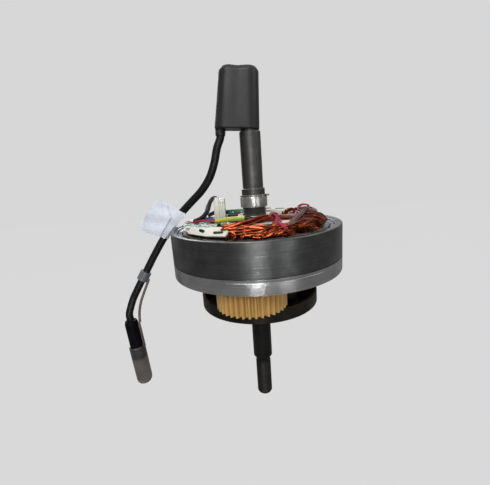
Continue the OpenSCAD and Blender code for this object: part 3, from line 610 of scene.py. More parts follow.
    @classmethod
    def softened(cls, node: str, finish: Finish, width: float = 0.25, keep_above: float | None = None,
                 groove: tuple[float, float, float, float] | None = None) -> bpy.types.Object:
        """Shows a frame node through a copy of it with rounded edges.

        Args:
            node: The frame node.
            finish: Its surface.
            width: Width of the rounding, in millimetres.
            keep_above: Height, in millimetres, below which the copy is cut away.
            groove: Height, radius, depth and width of a groove to turn in the copy's side, in millimetres.

        Returns:
            The copy.
        """
        shape = bmesh.new()
        shape.from_mesh(frame["nodes"][node].data)
        bmesh.ops.remove_doubles(shape, verts=shape.verts, dist=NODE_WELD)
        bmesh.ops.dissolve_limit(shape, angle_limit=math.radians(1.0), verts=shape.verts, edges=shape.edges)
        if width:
            sharp = [edge for edge in shape.edges if len(edge.link_faces) == 2
                     and edge.calc_face_angle(0.0) > math.radians(EDGE_ANGLE)]
            bmesh.ops.bevel(shape, geom=sharp, offset=width * MM, segments=2, profile=0.5, affect="EDGES",
                            clamp_overlap=True, material=-1)
        if keep_above is not None:
            cls.cut_level(shape, keep_above, clear=True)
        if groove:
            height, radius, depth, across = groove
            for level in (0.0, 0.25, 0.75, 1.0):
                cls.cut_level(shape, height + across * (level - 0.5))
            for vert in shape.verts:
                reach = Vector((vert.co.x, vert.co.y, 0))
                if reach.length > (radius - 1) * MM and abs(vert.co.z / MM - height) < across * 0.3:
                    vert.co -= reach.normalized() * depth * MM
        mesh = cls.to_mesh(node + "_finished", shape)
        cls.shade(mesh, CUT_ANGLE)
        return cls.flatten(cls.place(node + "_finished", mesh, finish, (node,), body=BODY_OF[node]))

    @classmethod
    def soften_all(cls, table: Iterable[tuple[str, Finish, float]]) -> None:
        """Shows frame nodes through softened copies; each row holds a node, its finish and the width."""
        for node, finish, width in table:
            cls.softened(node, finish, width)

    @staticmethod
    def cut_level(shape: bmesh.types.BMesh, height: float, clear: bool = False) -> None:
        """Cuts a bmesh at a height in millimetres, and clears and caps what is below if asked."""
        cut = bmesh.ops.bisect_plane(shape, geom=shape.verts[:] + shape.edges[:] + shape.faces[:],
                                     plane_co=(0, 0, height * MM), plane_no=(0, 0, 1), clear_inner=clear)
        if clear:
            rim = [item for item in cut["geom_cut"] if isinstance(item, bmesh.types.BMEdge)]
            bmesh.ops.holes_fill(shape, edges=rim)

    @staticmethod
    def remelted(mesh: bpy.types.Mesh, voxel: float, rounds: int) -> bpy.types.Mesh:
        """Returns a mesh with its surface run together, as a moulding has it.

        Args:
            mesh: The mesh to run together.
            voxel: Size of the smallest detail that is kept, in millimetres.
            rounds: How often it is smoothed.

        Returns:
            The new mesh.
        """
        holder = linked("melt", mesh)
        melt = holder.modifiers.new("melt", "REMESH")
        melt.mode = "VOXEL"
        melt.voxel_size = voxel * MM
        relax = holder.modifiers.new("relax", "SMOOTH")
        relax.iterations = rounds
        bpy.context.view_layer.update()
        result = bpy.data.meshes.new_from_object(holder.evaluated_get(bpy.context.evaluated_depsgraph_get()))
        bpy.data.objects.remove(holder)
        Workshop.shade(result, CUT_ANGLE)
        return result

    @classmethod
    def remoulded(cls, node: str, finish: Finish, voxel: float, rounds: int) -> bpy.types.Object:
        """Shows a frame node through a copy of it with the soft edges of a moulding.

        Args:
            node: The frame node.
            finish: Its surface.
            voxel: Size of the smallest detail that is kept, in millimetres.
            rounds: How often it is smoothed.

        Returns:
            The copy.
        """
        shape = bmesh.new()
        shape.from_mesh(frame["nodes"][node].data)
        bmesh.ops.remove_doubles(shape, verts=shape.verts, dist=NODE_WELD)
        mesh = cls.remelted(cls.to_mesh(node + "_moulded", shape), voxel, rounds)
        return cls.place(node + "_moulded", mesh, finish, (node,), body=BODY_OF[node])

    @staticmethod
    def dress(node: str, finish: Finish) -> None:
        """Gives a frame node that stays as it is a finish."""
        data = frame["nodes"][node].data
        data.materials.clear()
        data.materials.append(finish.build())

    @staticmethod
    def smooth_path(points: Sequence[Point | Vector], steps: int = 6) -> list[Vector]:
        """Lays a Catmull-Rom line through points.

        Args:
            points: The points, in millimetres.
            steps: Number of steps between each two.

        Returns:
            Points of the line, in metres.
        """
        line: list[Vector] = []
        knots = [Vector(point) * MM for point in points]
        ends = [knots[0] * 2 - knots[1], *knots, knots[-1] * 2 - knots[-2]]
        for i in range(len(knots) - 1):
            a, b, c, d = ends[i:i + 4]
            for s in range(steps):
                t = s / steps
                line.append(0.5 * ((2 * b) + (c - a) * t + (2 * a - 5 * b + 4 * c - d) * t ** 2
                                   + (3 * b - a - 3 * c + d) * t ** 3))
        line.append(knots[-1].copy())
        return line

    @staticmethod
    def swept(lines: Sequence[Sequence[Vector]], radius: float, sides: int, loops: bool) -> bpy.types.Mesh:
        """Sweeps round wires along lines.

        Args:
            lines: The points of each wire's centre, in metres.
            radius: The wires' radius in millimetres.
            sides: Roundness of the wire; it has twice this many sides, plus four.
            loops: Whether each line is closed.

        Returns:
            A mesh of all the wires.
        """
        curve = bpy.data.curves.new("wires", "CURVE")
        curve.dimensions = "3D"
        curve.bevel_depth = radius * MM
        curve.bevel_resolution = sides
        curve.use_fill_caps = True
        for line in lines:
            spline = curve.splines.new("POLY")
            spline.points.add(len(line) - 1)
            for point, place in zip(spline.points, line):
                point.co = (*place, 1.0)
            spline.use_cyclic_u = loops
        holder = linked("wires", curve)
        bpy.context.view_layer.update()
        mesh = bpy.data.meshes.new_from_object(holder.evaluated_get(bpy.context.evaluated_depsgraph_get()))
        bpy.data.objects.remove(holder)
        bpy.data.curves.remove(curve)
        Workshop.shade(mesh, CUT_ANGLE)
        return mesh

    @classmethod
    def wires(cls, name: str, lines: Sequence[Sequence[Vector]], radius: float, finish: Finish,
              nodes: Sequence[str] = (), slot: str | None = None, sides: int = 1, loops: bool = False,
              ) -> bpy.types.Object:
        """Makes a piece of round wires on the stator, swept along lines.

        Args:
            name: Name of the piece.
            lines: The points of each wire's centre, in metres.
            radius: The wires' radius in millimetres.
            finish: Their surface.
            nodes: Frame nodes that they are shown in place of.
            slot: Not used.
            sides: Roundness of the wire; it has twice this many sides, plus four.
            loops: Whether each line is closed.

        Returns:
            The new object.
        """
        return cls.place(name, cls.swept(lines, radius, sides, loops), finish, nodes, slot)


RECORD = frame["record"]
BODY_OF = {node: body for body, nodes in RECORD["behaviour"]["bodies"].items() for node in nodes}
SLOT_OF = {part["node"]: part["material_slot"] for part in RECORD["subparts"]}


# ---------------------------------------------------------------- studio


@dataclass(frozen=True)
class Lamp:
    """A soft lamp: where it hangs, in millimetres, its width and height in metres, its power in watts."""

    name: str
    place: Point
    width: float
    height: float
    power: float

    def hang(self, aim: Vector) -> None:
        """Hangs the lamp so that it faces a point."""
        data = bpy.data.lights.new(self.name, "AREA")
        data.shape = "RECTANGLE"
        data.size = self.width
        data.size_y = self.height
        data.energy = self.power
        place = mm(*self.place)
        turn = (aim - place).to_track_quat("-Z", "Y").to_matrix().to_4x4()
        linked(self.name, data).matrix_world = Matrix.Translation(place) @ turn


@dataclass
class Studio:
    """Camera, soft light, and a pale floor below the hanging motor."""

    eye: Point = (0.0, -224.77, 144.84)
    right: Point = (0.99749558, 0.02350648, -0.06670847)
    up: Point = (0.06002861, 0.21742986, 0.97422832)
    back: Point = (0.03740509, -0.97579286, 0.21547426)
    lens: float = 22.19
    sensor: float = 36.0
    floor_z: float = -250.0
    floor_reach: float = 3000.0
    floor_glow: float = 0.672
    floor_mirror: float = 0.2
    backdrop: float = 0.679
    room_low_high: tuple[float, float] = (0.1, 0.8)
    room_front_back: tuple[float, float] = (1.0, 1.3)
    room_middle_sides: tuple[float, float] = (1.0, 0.45)
    aim: Point = (0.0, 0.0, 100.0)
    lamps: tuple[Lamp, ...] = (
        Lamp("key_light", (-250, -900, 900), 0.6, 0.6, 8.0),
        Lamp("strip_light", (-20, -1100, 40), 0.05, 0.5, 2.2),
        Lamp("panel_light", (620, -950, -20), 0.3, 0.4, 0.8),
        Lamp("back_light", (-350, 950, 700), 0.6, 0.6, 5.0),
        Lamp("side_light", (900, -300, 600), 0.5, 0.5, 1.6),
    )

    def build(self) -> None:
        """Sets up everything that isn't part of the motor."""
        self.camera()
        self.world()
        for lamp in self.lamps:
            lamp.hang(mm(*self.aim))
        self.floor()
        bpy.context.scene.view_settings.view_transform = "Standard"

    def camera(self) -> None:
        """Places the camera and makes it the scene's own."""
        data = bpy.data.cameras.new("studio_camera")
        data.lens = self.lens
        data.sensor_width = self.sensor
        data.clip_start = 0.01
        data.clip_end = 20.0
        eye = linked("studio_camera", data)
        eye.matrix_world = moved(*self.eye) @ Matrix((self.right, self.up, self.back)).transposed().to_4x4()
        bpy.context.scene.camera = eye

    def world(self) -> None:
        """Makes an even pale backdrop, and a softly shaded room for the metal to mirror."""
        world = bpy.data.worlds.new("studio_room")
        world.use_nodes = True
        bpy.context.scene.world = world
        graph = Graph(world.node_tree)
        sky = world.node_tree.nodes["Background"]
        place = graph.add("TexCoord").outputs["Generated"]
        split = graph.add("SeparateXYZ")
        graph.feed(split.inputs[0], place)
        height = graph.between(graph.ramp(split.outputs[2], -0.6, 0.9), *self.room_low_high)
        front = graph.between(graph.ramp(split.outputs[1], -1.0, 0.6), *self.room_front_back)
        sides = graph.between(graph.ramp(graph.math("ABSOLUTE", split.outputs[0]), 0.1, 0.75),
                              *self.room_middle_sides)
        room = graph.math("MULTIPLY", graph.math("MULTIPLY", height, front), sides)
        seen = graph.add("LightPath").outputs["Is Camera Ray"]
        shade = graph.add("Mix", data_type="FLOAT")
        graph.feed(shade.inputs[0], seen)
        graph.feed(shade.inputs[2], room)
        shade.inputs[3].default_value = self.backdrop
        graph.feed(sky.inputs["Color"], shade.outputs[0])

    def floor(self) -> None:
        """Lays the floor."""
        shape = bmesh.new()
        bmesh.ops.create_grid(shape, x_segments=2, y_segments=2, size=self.floor_reach * MM)
        bmesh.ops.translate(shape, vec=mm(0, 0, self.floor_z), verts=shape.verts)
        mesh = Workshop.to_mesh("studio_floor", shape)
        floor = linked("studio_floor", mesh)
        paint = FLOOR.build()
        shader = paint.node_tree.nodes["Principled BSDF"]
        shader.inputs["Specular IOR Level"].default_value = 0.0
        shader.inputs["Emission Color"].default_value = (1, 1, 1, 1)
        graph = Graph(paint.node_tree)
        seen = graph.add("LightPath").outputs["Is Camera Ray"]
        glow = graph.between(seen, self.floor_mirror, self.floor_glow)
        graph.feed(shader.inputs["Emission Strength"], glow)
        mesh.materials.append(paint)


# ---------------------------------------------------------------- cable end


@dataclass
class CableEnd:
    """Rubber cap on the upper axle end, and the cable that hangs from it with its plug."""

    route: tuple[Point, ...] = (
        (-20.3, 0, 180.6), (-21, 0, 172.5), (-24, 0, 165.5), (-27, 0.5, 155), (-31.5, 1.5, 145),
        (-38.5, 3, 136), (-47.5, 5, 128), (-57, 7.5, 119.5), (-66.5, 9, 109.5), (-74, 8.5, 99.5),
        (-80.5, 8, 90), (-85, 7.5, 83), (-89.3, 6.8, 76), (-94.9, 5.2, 66.8), (-99, 4, 59.8),
        (-102.5, 3, 53.5), (-105, 1.5, 47), (-106.5, 0, 41.2), (-106, 0, 35.2))
    cable_d: float = 5.8
    cap_at: float = 176.0
    cap_tilt: float = 4.9
    waist_x: float = -8.6
    waist_reach: float = 3.4
    waist_depth: float = 0.03
    dip_z: float = 34.0
    dip_slope: float = 0.4 / 6
    boot_x: float = -20.6
    plug_at: Point = (-106.1, 0, 36.2)
    plug_tilt: float = -4.6
    plug_d: float = 10.6
    plug_l: float = 23.0
    rib_count: int = 5
    rib_pitch: float = 1.3
    neck_l: float = 9.6
    cup_d: float = 12.8
    cup_l: float = 34.0
    strap: tuple[Point, ...] = ((-98.8, 0, 34.0), (-98.4, 1, 42), (-96.4, 1.6, 50), (-93.4, 3, 57.5),
                                (-90.6, 5, 64), (-88.6, 6, 68.5))
    band_at: Point = (-92.1, 6, 71.4)
    band_tilt: float = 31.3
    band_roll: float = -8.4
    label_at: Point = (-66.5, 3.1, 109.5)
    label_fall: float = 46.2
    front_leaf: Outline = (
        (-15.1, -13.3), (2.2, -16.8), (3.4, -6.5), (2, -2), (2.6, 9.7), (-0.5, 9.8), (-10.5, 9))
    back_leaf: Outline = (
        (-19.8, -10.8), (-12.5, -13.2), (-4, -8), (-1, 9.6), (-7.6, 13), (-14.1, 13.4), (-17.8, 8))
    trim: list[object] = field(default_factory=list)

    def build(self) -> None:
        """Builds every piece of the cable end."""
        self.cap()
        self.boot()
        self.plug()
        self.dust_cup()
        self.label()
        self.cable()

    def in_cap(self) -> Matrix:
        """Returns the place of the leaning cap."""
        return moved(0, 0, self.cap_at) @ rotated(self.cap_tilt, "Y")

    def in_plug(self) -> Matrix:
        """Returns the place of the plug, whose +Z runs down it."""
        return moved(*self.plug_at) @ rotated(self.plug_tilt, "Y") @ Matrix.Diagonal((1, 1, -1, 1))

    def cable(self) -> None:
        path = Workshop.smooth_path(self.route, 4)
        piece = Workshop.wires("power_cable", [path], self.cable_d / 2, CABLE_JACKET, ("motor_cable",),
                               sides=6)

    def cap(self) -> None:
        """Builds the cap: a moulded shell with a waist between its two lobes."""
        piece = Workshop.remoulded("cable_cap", CAP_RUBBER, 0.6, 5)
        inverse = self.in_cap().inverted()
        for vert in piece.data.vertices:
            local = inverse @ vert.co / MM
            waist = math.exp(-((local.x - self.waist_x) / self.waist_reach) ** 2)
            local.y *= 1 - self.waist_depth * waist
            local.z -= self.dip_slope * waist * max(local.z - self.dip_z, 0.0)
            vert.co = self.in_cap() @ (local * MM)

    def boot(self) -> None:
        """Builds the collar that holds the cable in the cap."""
        shape = Workshop.spin([(2.92, 3), (3.5, 3), (3.65, 2.8), (3.65, -1.3), (3.5, -1.5), (3.5, -1.9),
                               (3.62, -2.1), (3.45, -4.2), (3.2, -4.5), (2.92, -4.5)], 48)
        place = self.in_cap() @ moved(self.boot_x, 0, 0)
        bmesh.ops.transform(shape, matrix=place, verts=shape.verts)
        Workshop.from_bmesh("cap_boot", shape, CAP_RUBBER, ("cable_boot",))

    def plug(self) -> None:
        """Builds the plug: a ribbed grip, a neck for the dust cup, and an arrow rib."""
        grip = self.plug_d / 2
        profile = [(0, 0), (grip - 1.3, 0), (grip - 0.8, 0.3), (grip - 0.1, 2.4)]
        for rib in range(self.rib_count):
            low = 4.4 + rib * self.rib_pitch
            profile += [(grip, low), (grip - 0.25, low + 0.2), (grip - 0.25, low + 0.5), (grip, low + 0.7)]
        profile += [(grip, self.plug_l - 0.5), (grip - 0.5, self.plug_l), (grip - 1.2, self.plug_l),
                    (grip - 1.3, self.plug_l + self.neck_l), (grip - 1.6, self.plug_l + 9.95),
                    (grip - 2.0, self.plug_l + 9.95), (grip - 2.2, self.plug_l + self.neck_l),
                    (grip - 2.2, self.plug_l + 1), (0, self.plug_l + 1)]
        shape = Workshop.spin(profile, 56)
        Workshop.block(shape, (1.6, 0.5, 5), moved(0, grip - 0.05, 15), 0.15)
        bmesh.ops.transform(shape, matrix=self.in_plug(), verts=shape.verts)
        self.trim.append(Workshop.from_bmesh("plug_grip", shape, PLUG_RUBBER, ("plug_body",)))
        Workshop.dress("plug_contacts", GOLD)
        self.trim.append(frame["nodes"]["plug_contacts"])

    def dust_cup(self) -> None:
        """Builds the clear cup over the plug's neck, with its tab, strap and band."""
        outer, top, end = self.cup_d / 2, self.plug_l + 0.1, self.plug_l + 0.1 + self.cup_l
        inner = self.plug_d / 2 - 1.1
        shape = Workshop.spin([(inner, top), (outer - 0.6, top), (outer, top + 0.6), (outer, top + 9.6),
                               (outer, top + 10.4), (outer - 0.1, end - 4.5), (outer - 0.5, end - 2.6),
                               (outer - 1.6, end - 0.9), (outer - 3.4, end - 0.1), (0, end), (0, top + 12),
                               (inner, top + 12)], 56)
        bmesh.ops.transform(shape, matrix=self.in_plug(), verts=shape.verts)
        cup = Workshop.from_bmesh("dust_cup", shape, DUST_RUBBER, ("dust_cap",))
        cup.data.materials.append(DARK_DUST_RUBBER.build())
        inverse = self.in_plug().inverted()
        for face in cup.data.polygons:
            face.material_index = int((inverse @ face.center).z < (top + 10) * MM)
        self.trim.append(cup)
        tab = self.in_plug() @ moved(outer - 0.1, 0, (self.plug_l + 5) / 2)
        self.trim.append(Workshop.blocks("dust_cup_tab", [((1.3, 2.6, self.plug_l - 1), tab, 0.4)],
                                         DUST_RUBBER, slot=SLOT_OF["dust_cap"]))
        path = Workshop.smooth_path(self.strap, 6)
        self.trim.append(Workshop.wires("dust_cup_strap", [path], 1.0, DUST_RUBBER, ("cap_strap",), sides=3))
        bore = self.cable_d / 2
        band = Workshop.spin([(bore + 0.1, -4), (bore + 1.1, -4), (bore + 1.5, -3.6), (bore + 1.4, 0),
                              (bore + 1.5, 3.6), (bore + 1.1, 4), (bore + 0.1, 4)], 48)
        place = moved(*self.band_at) @ rotated(self.band_tilt, "Y") @ rotated(self.band_roll, "X")
        bmesh.ops.transform(band, matrix=place, verts=band.verts)
        self.trim.append(Workshop.from_bmesh("dust_cup_band", band, BAND_RUBBER, (), SLOT_OF["cap_strap"]))

    def label(self) -> None:
        """Builds the paper flag: a creased double leaf, and the turn of it round the cable."""
        fall = math.radians(self.label_fall)
        across = Vector((math.cos(fall), 0, -math.sin(fall)))
        down = Vector((-math.sin(fall), 0, -math.cos(fall)))
        centre = mm(*self.label_at)
        leaves = (("label_front", self.front_leaf), ("label_back", self.back_leaf))
        for leaf, (name, outline) in enumerate(leaves):
            shape = bmesh.new()
            shape.faces.new([shape.verts.new(mm(*corner, 0)) for corner in outline])
            for axis, low, high in ((0, -20, 6), (1, -18, 14)):
                for cut in range(low, high, 2):
                    spot = [0.0, 0.0, 0.0]
                    turn = [0.0, 0.0, 0.0]
                    spot[axis], turn[axis] = cut * MM, 1.0
                    bmesh.ops.bisect_plane(shape, geom=shape.verts[:] + shape.edges[:] + shape.faces[:],
                                           plane_co=spot, plane_no=turn)
            for vert in shape.verts:
                a, s = vert.co.x / MM, vert.co.y / MM
                lift = 1.5 * math.exp(-((a - 3) / 4) ** 2) + 0.05 * a - 0.9 * leaf
                curl = 0.014 * (a + 3) ** 2 * (0.4 + 0.05 * (s + 10)) * (a < -3)
                curl += 0.35 * math.sin(s * 0.45 + a * 0.3)
                vert.co = centre + (across * a + down * s) * MM + Vector((0, -1, 0)) * (curl - lift) * MM
            bmesh.ops.solidify(shape, geom=shape.faces[:], thickness=0.16 * MM)
            nodes = () if leaf else ("cable_label",)
            self.trim.append(Workshop.from_bmesh(name, shape, PAPER, nodes, SLOT_OF["cable_label"],
                                                 FLAT_ANGLE))
        path = Workshop.smooth_path(self.route, 4)
        near = [point for point in path if -17 * MM < (point - centre).dot(down) < 11 * MM
                and abs((point - centre).dot(across)) < 14 * MM]
        self.trim.append(Workshop.wires("label_turn", [near], self.cable_d / 2 + 0.35, PAPER, (),
                                        SLOT_OF["cable_label"], sides=5))


# ---------------------------------------------------------------- axle


@dataclass
class AxleStack:
    """The fixed axle with its rings, seal and hub."""

    end_r: float = 6.0
    end_l: float = 34.6
    pitch: float = 1.25
    thread_depth: float = 0.32
    dark_below: float = 60.0
    spacer_outline: Outline = (
        (8.6, 122.2), (9.6, 122.2), (9.9, 122.5), (9.9, 129.3), (9.5, 129.8), (8.9, 129.8), (8.6, 129.5))
    lip_outline: Outline = (
        (7.52, 116.6), (8.5, 116.6), (8.6, 117.0), (8.6, 118.0), (8.1, 118.3), (8.1, 118.9), (8.6, 119.2),
        (8.6, 120.2), (8.2, 120.5), (8.2, 121.1), (8.6, 121.4), (8.5, 122.1), (7.52, 122.1))

    def build(self) -> None:
        """Builds every piece on the axle."""
        axle = Workshop.softened("axle", AXLE_STEEL, 0.2, keep_above=0.0)
        # Faces below this height take the near-black finish, so the axle is much darker towards the bottom.
        axle.data.materials.append(AXLE_LOWER_DARK.build())
        for face in axle.data.polygons:
            face.material_index = int(face.center.z < self.dark_below * MM)
        self.threads()
        spacer = Workshop.spin(self.spacer_outline, 96)
        piece = Workshop.from_bmesh("spacer", spacer, BRIGHT_STEEL, ("spacer_ring",), angle=FLAT_ANGLE)
        Workshop.flatten(piece)
        Workshop.from_bmesh("axle_lip_seal", Workshop.spin(self.lip_outline, 96), SEAL_RUBBER,
                            ("axle_seal",))
        Workshop.soften_all((("upper_circlip", SPRING_STEEL, 0.12), ("lower_circlip", SPRING_STEEL, 0.12),
                             ("stator_hub", HUB_ALUMINIUM, 0.5), ("stator_key", GEAR_STEEL, 0.1)))

    def threads(self) -> None:
        """Builds the threaded lower end."""
        profile = [(0, -self.end_l), (self.end_r - 1.6, -self.end_l), (self.end_r - 0.6, -self.end_l + 0.9)]
        z = -self.end_l + 1.6
        while z < -4.5:
            profile += [(self.end_r - self.thread_depth, z), (self.end_r, z + self.pitch * 0.45),
                        (self.end_r, z + self.pitch * 0.6)]
            z += self.pitch
        profile += [(self.end_r - self.thread_depth, z), (self.end_r - self.thread_depth, -1.2),
                    (self.end_r, -0.7), (self.end_r, 0.05), (0, 0.05)]
        # The threaded lower end takes the same near-black finish.
        Workshop.from_bmesh("axle_thread", Workshop.spin(profile, 72), AXLE_LOWER_DARK, ("axle",),
                            angle=CUT_ANGLE)


# ---------------------------------------------------------------- windings


@dataclass(frozen=True)
class Bundle:
    """Wires that run together along one line."""

    name: str
    line: tuple[Point, ...]
    width: float
    height: float
    count: int
    twist: float = 0.25
    wander: float = 0.25
    finish: Finish = COPPER
    radius: float = 0.42
    nodes: tuple[str, ...] = ()
    slot: str = "copper_winding"

    def strands(self, rng: random.Random) -> list[list[Vector]]:
        """Returns the centre line of each wire.

        Args:
            rng: Source of the wires' places in the bundle.

        Returns:
            A list of points for each wire, in metres.
        """
        spine = Workshop.smooth_path(self.line, 6)
        last = len(spine) - 1
        frames = []
        for i, place in enumerate(spine):
            ahead = (spine[min(i + 1, last)] - spine[max(i - 1, 0)]).normalized()
            side = ahead.cross(Vector((0, 0, 1)))
            side = side.normalized() if side.length > 0.05 else Vector((1, 0, 0))
            frames.append((place, side, side.cross(ahead).normalized(), i / last))
        lines = []
        for _ in range(self.count):
            start, reach = rng.uniform(0, math.tau), math.sqrt(rng.random())
            phase, waves = rng.uniform(0, math.tau), rng.uniform(0.8, 2.0)
            line = []
            for place, side, up, share in frames:
                angle = start + self.twist * math.tau * share
                swell = reach * (1 + self.wander * math.sin(phase + waves * math.tau * share))
                line.append(place + side * (math.cos(angle) * swell * self.width / 2 * MM)
                            + up * (math.sin(angle) * swell * self.height / 2 * MM))
            lines.append(line)
        return lines

    def build(self, rng: random.Random) -> bpy.types.Object:
        """Returns the bundle as one piece."""
        return Workshop.wires(self.name, self.strands(rng), self.radius, self.finish, self.nodes, self.slot)


# Wires that lie on the coils, from the front to the back.
BUNDLES = (
    Bundle("copper_main", ((-19.6, -45.4, 113.4), (-17.6, -46.3, 114.0), (-13.6, -46.6, 115.0),
                           (-8, -46.2, 116.2), (-2, -45.0, 117.2), (3, -42.8, 118.2), (8, -40.4, 118.6),
                           (14, -37.8, 117.8), (21, -34.8, 116.4)), 5.2, 3.6, 26, 0.35, 0.2, radius=0.45,
           nodes=("copper_leads",)),
    Bundle("copper_under_sleeve", ((-27, -36, 113.6), (-20, -38.5, 114.3), (-13, -39, 115),
                                   (-7, -38.5, 115.9), (-1, -37, 116.4), (5, -34.5, 116)), 4.2, 2.4, 14, 0.2),
    Bundle("copper_mass_low", ((-16, -48.5, 113.6), (-10, -50.2, 113.0), (-4, -51.3, 112.0),
                               (2, -51.6, 111.4), (8, -51, 111.6), (14, -49.6, 112.4)), 4.6, 4.4, 26, 0.5,
           0.4),
    Bundle("copper_mass_high", ((-13, -46, 114.8), (-7, -47.8, 114.8), (-1, -48.8, 114.2),
                                (5, -48.8, 113.8), (11, -48, 113.8), (17, -46.4, 114)), 4.4, 3.4, 24, -0.4,
           0.4),
    Bundle("copper_knot_left", ((-11, -44.6, 116.4), (-14.2, -46.6, 115.2), (-14.6, -49.6, 113.2),
                                (-12.4, -52.2, 111.0), (-13.2, -53.4, 109.6)), 3.2, 2.8, 14, 1.3),
    Bundle("copper_knot_middle", ((-6.4, -46.8, 115.6), (-9.2, -49.2, 113.8), (-7.6, -52.0, 111.4),
                                  (-8.6, -53.4, 109.8)), 2.6, 2.4, 10, 1.1),
    Bundle("copper_knot_right", ((2.6, -46.8, 115.2), (5.6, -49.6, 113.6), (3.6, -52.2, 111.2),
                                 (5.0, -53.6, 109.4)), 2.8, 2.6, 12, 1.2),
    Bundle("copper_right", ((4, -49, 113.4), (9.5, -48.4, 113.6), (15.4, -47.4, 113.6),
                            (20.8, -45.6, 113.8), (25.6, -42.8, 114.2), (30.4, -39, 114.2),
                            (35.4, -34.6, 114)), 5.0, 3.6, 24, 0.4, 0.35),
    Bundle("copper_right_low", ((5, -52.4, 110.6), (9.5, -51.8, 111.2), (14.4, -50.8, 111.6),
                                (19, -49.6, 111.4), (22.6, -48.6, 110.0)), 3.0, 2.8, 14, 0.8, 0.4,
           radius=0.4),
    Bundle("copper_fringe", ((25, -46.6, 113.4), (29.4, -43.8, 113.4), (33.4, -41, 112.6),
                             (37, -38.6, 111.4), (38.6, -38, 109.8)), 4.6, 2.2, 14, 0.6, 0.6, radius=0.4),
    Bundle("copper_shadow", ((-12, -44, 113.3), (-4, -46, 113.3), (4, -46, 113.3), (12, -44.8, 113.3),
                             (22, -41, 113.3), (31, -35, 113.3)), 7.0, 1.2, 16, 0.15,
           finish=RED_COPPER, radius=0.5),
    Bundle("red_ribbon", ((6, -37.4, 118.4), (12, -35.8, 118.2), (17.6, -33.6, 117.8), (23, -31.4, 117),
                          (28, -28.6, 116)), 4.4, 2.2, 16, 0.2, finish=RED_COPPER),
    Bundle("dark_bundle_back", ((31, -18, 117.4), (36, -17.4, 117.4), (40.6, -17.6, 116.2),
                                (44.6, -19.4, 114.6), (47.4, -22.6, 112.2)), 4.6, 3.2, 18, 0.4, 0.4,
           finish=DARK_COPPER),
    Bundle("dark_bundle_middle", ((25, -33, 116), (30, -28.6, 116.6), (36, -25, 116), (41.4, -24.4, 114.6),
                                  (45.2, -27.4, 112)), 4.8, 3.2, 18, 0.4, 0.4, finish=RED_COPPER),
    Bundle("dark_bundle_front", ((24, -42.4, 114.4), (29, -38, 115.2), (34.6, -34.4, 115),
                                 (39.4, -32.6, 113.8), (42.8, -33.4, 111.4)), 4.6, 3.0, 18, 0.4, 0.4,
           finish=RED_COPPER),
    Bundle("brown_flat_braid", ((19.4, -47.6, 113.2), (22.4, -43.4, 115.2), (26.4, -35.6, 117),
                                (31, -25.4, 118.2), (34.4, -14.6, 119.6), (35.8, -9, 120)), 4.4, 1.5, 16,
           0.0, 0.1, finish=BRAID, nodes=("flat_braid",), slot="braid_brown"),
    Bundle("arch_wires", ((-27.6, 1.0, 128.4), (-28.6, 0.2, 130.2), (-30.8, -0.8, 129.4),
                          (-33.0, -2.0, 126.0), (-34.6, -4.0, 121.0), (-38.0, -8.0, 117.2),
                          (-43.0, -12, 115.4)), 3.4, 2.2, 8, 0.3, 0.15, finish=DARK_WIRE, radius=0.65,
           nodes=("sensor_wires",), slot="wire_black"),
    Bundle("arch_brown_wires", ((-27.6, 1.8, 128.0), (-29.0, 1.2, 129.8), (-31.4, 0.2, 128.6),
                                (-34.0, -1.0, 124.6), (-36.0, -2.6, 119.6), (-40.4, -5, 116.4)), 2.8, 2.0,
           7, 0.4, 0.15, finish=BROWN_WIRE, radius=0.62, slot="wire_black"),
    Bundle("blue_wires", ((-39.6, -5.6, 115.8), (-35.2, -8.4, 116.6), (-30.2, -11.6, 116.2),
                          (-26, -14, 115)), 1.6, 1.0, 3, 0.2, 0.2, finish=BLUE, radius=0.55,
           slot="wire_black"),
    Bundle("crimson_wire", ((-47.5, -16.6, 114.4), (-44, -18.6, 115.4), (-37, -20.2, 116.4),
                            (-30, -20.9, 116.4), (-23, -22, 115)), 1.2, 0.8, 3, 0.5, 0.2, finish=CRIMSON,
           radius=0.55, slot="lead_crimson"),
    Bundle("pink_wire", ((-47.2, -17.2, 114.2), (-47.4, -22.6, 113.6), (-45.8, -28.8, 112.4),
                         (-43.6, -34.2, 111.4)), 0.4, 0.3, 1, 0.2, 0.2, finish=PINK, radius=0.5,
           slot="lead_crimson"),
    Bundle("back_harness", ((-38, 20, 115.2), (-32, 22.5, 116.6), (-24, 24.5, 116.6), (-15, 27, 116.2),
                            (-6, 28.5, 115.8), (4, 30, 115), (12, 33, 114.6)), 4.0, 2.8, 9, 0.7, 0.3,
           finish=DARK_WIRE, radius=0.62, slot="wire_black"),
    Bundle("back_copper", ((14, 40, 114.4), (4, 43, 114.8), (-7, 43.4, 115), (-18, 40.4, 114.8),
                           (-27, 35.4, 114.4)), 4.4, 2.8, 18, 0.6, 0.4),
    Bundle("right_harness", ((33, 24, 115.4), (38.6, 18.4, 116.4), (42.4, 9, 116.6), (43.6, -1, 116.4),
                             (42.6, -10, 116.2), (40, -16, 116)), 4.6, 3.2, 20, 0.7, 0.35,
           finish=DARK_COPPER, radius=0.45),
    Bundle("blob_wires", ((22, 9, 113.6), (25, 9.8, 116.4), (28.6, 9.4, 116.8), (31, 7, 114.6),
                          (33, 3, 113)), 3.4, 2.6, 12, 1.0, 0.4, finish=RED_COPPER, radius=0.45),
)

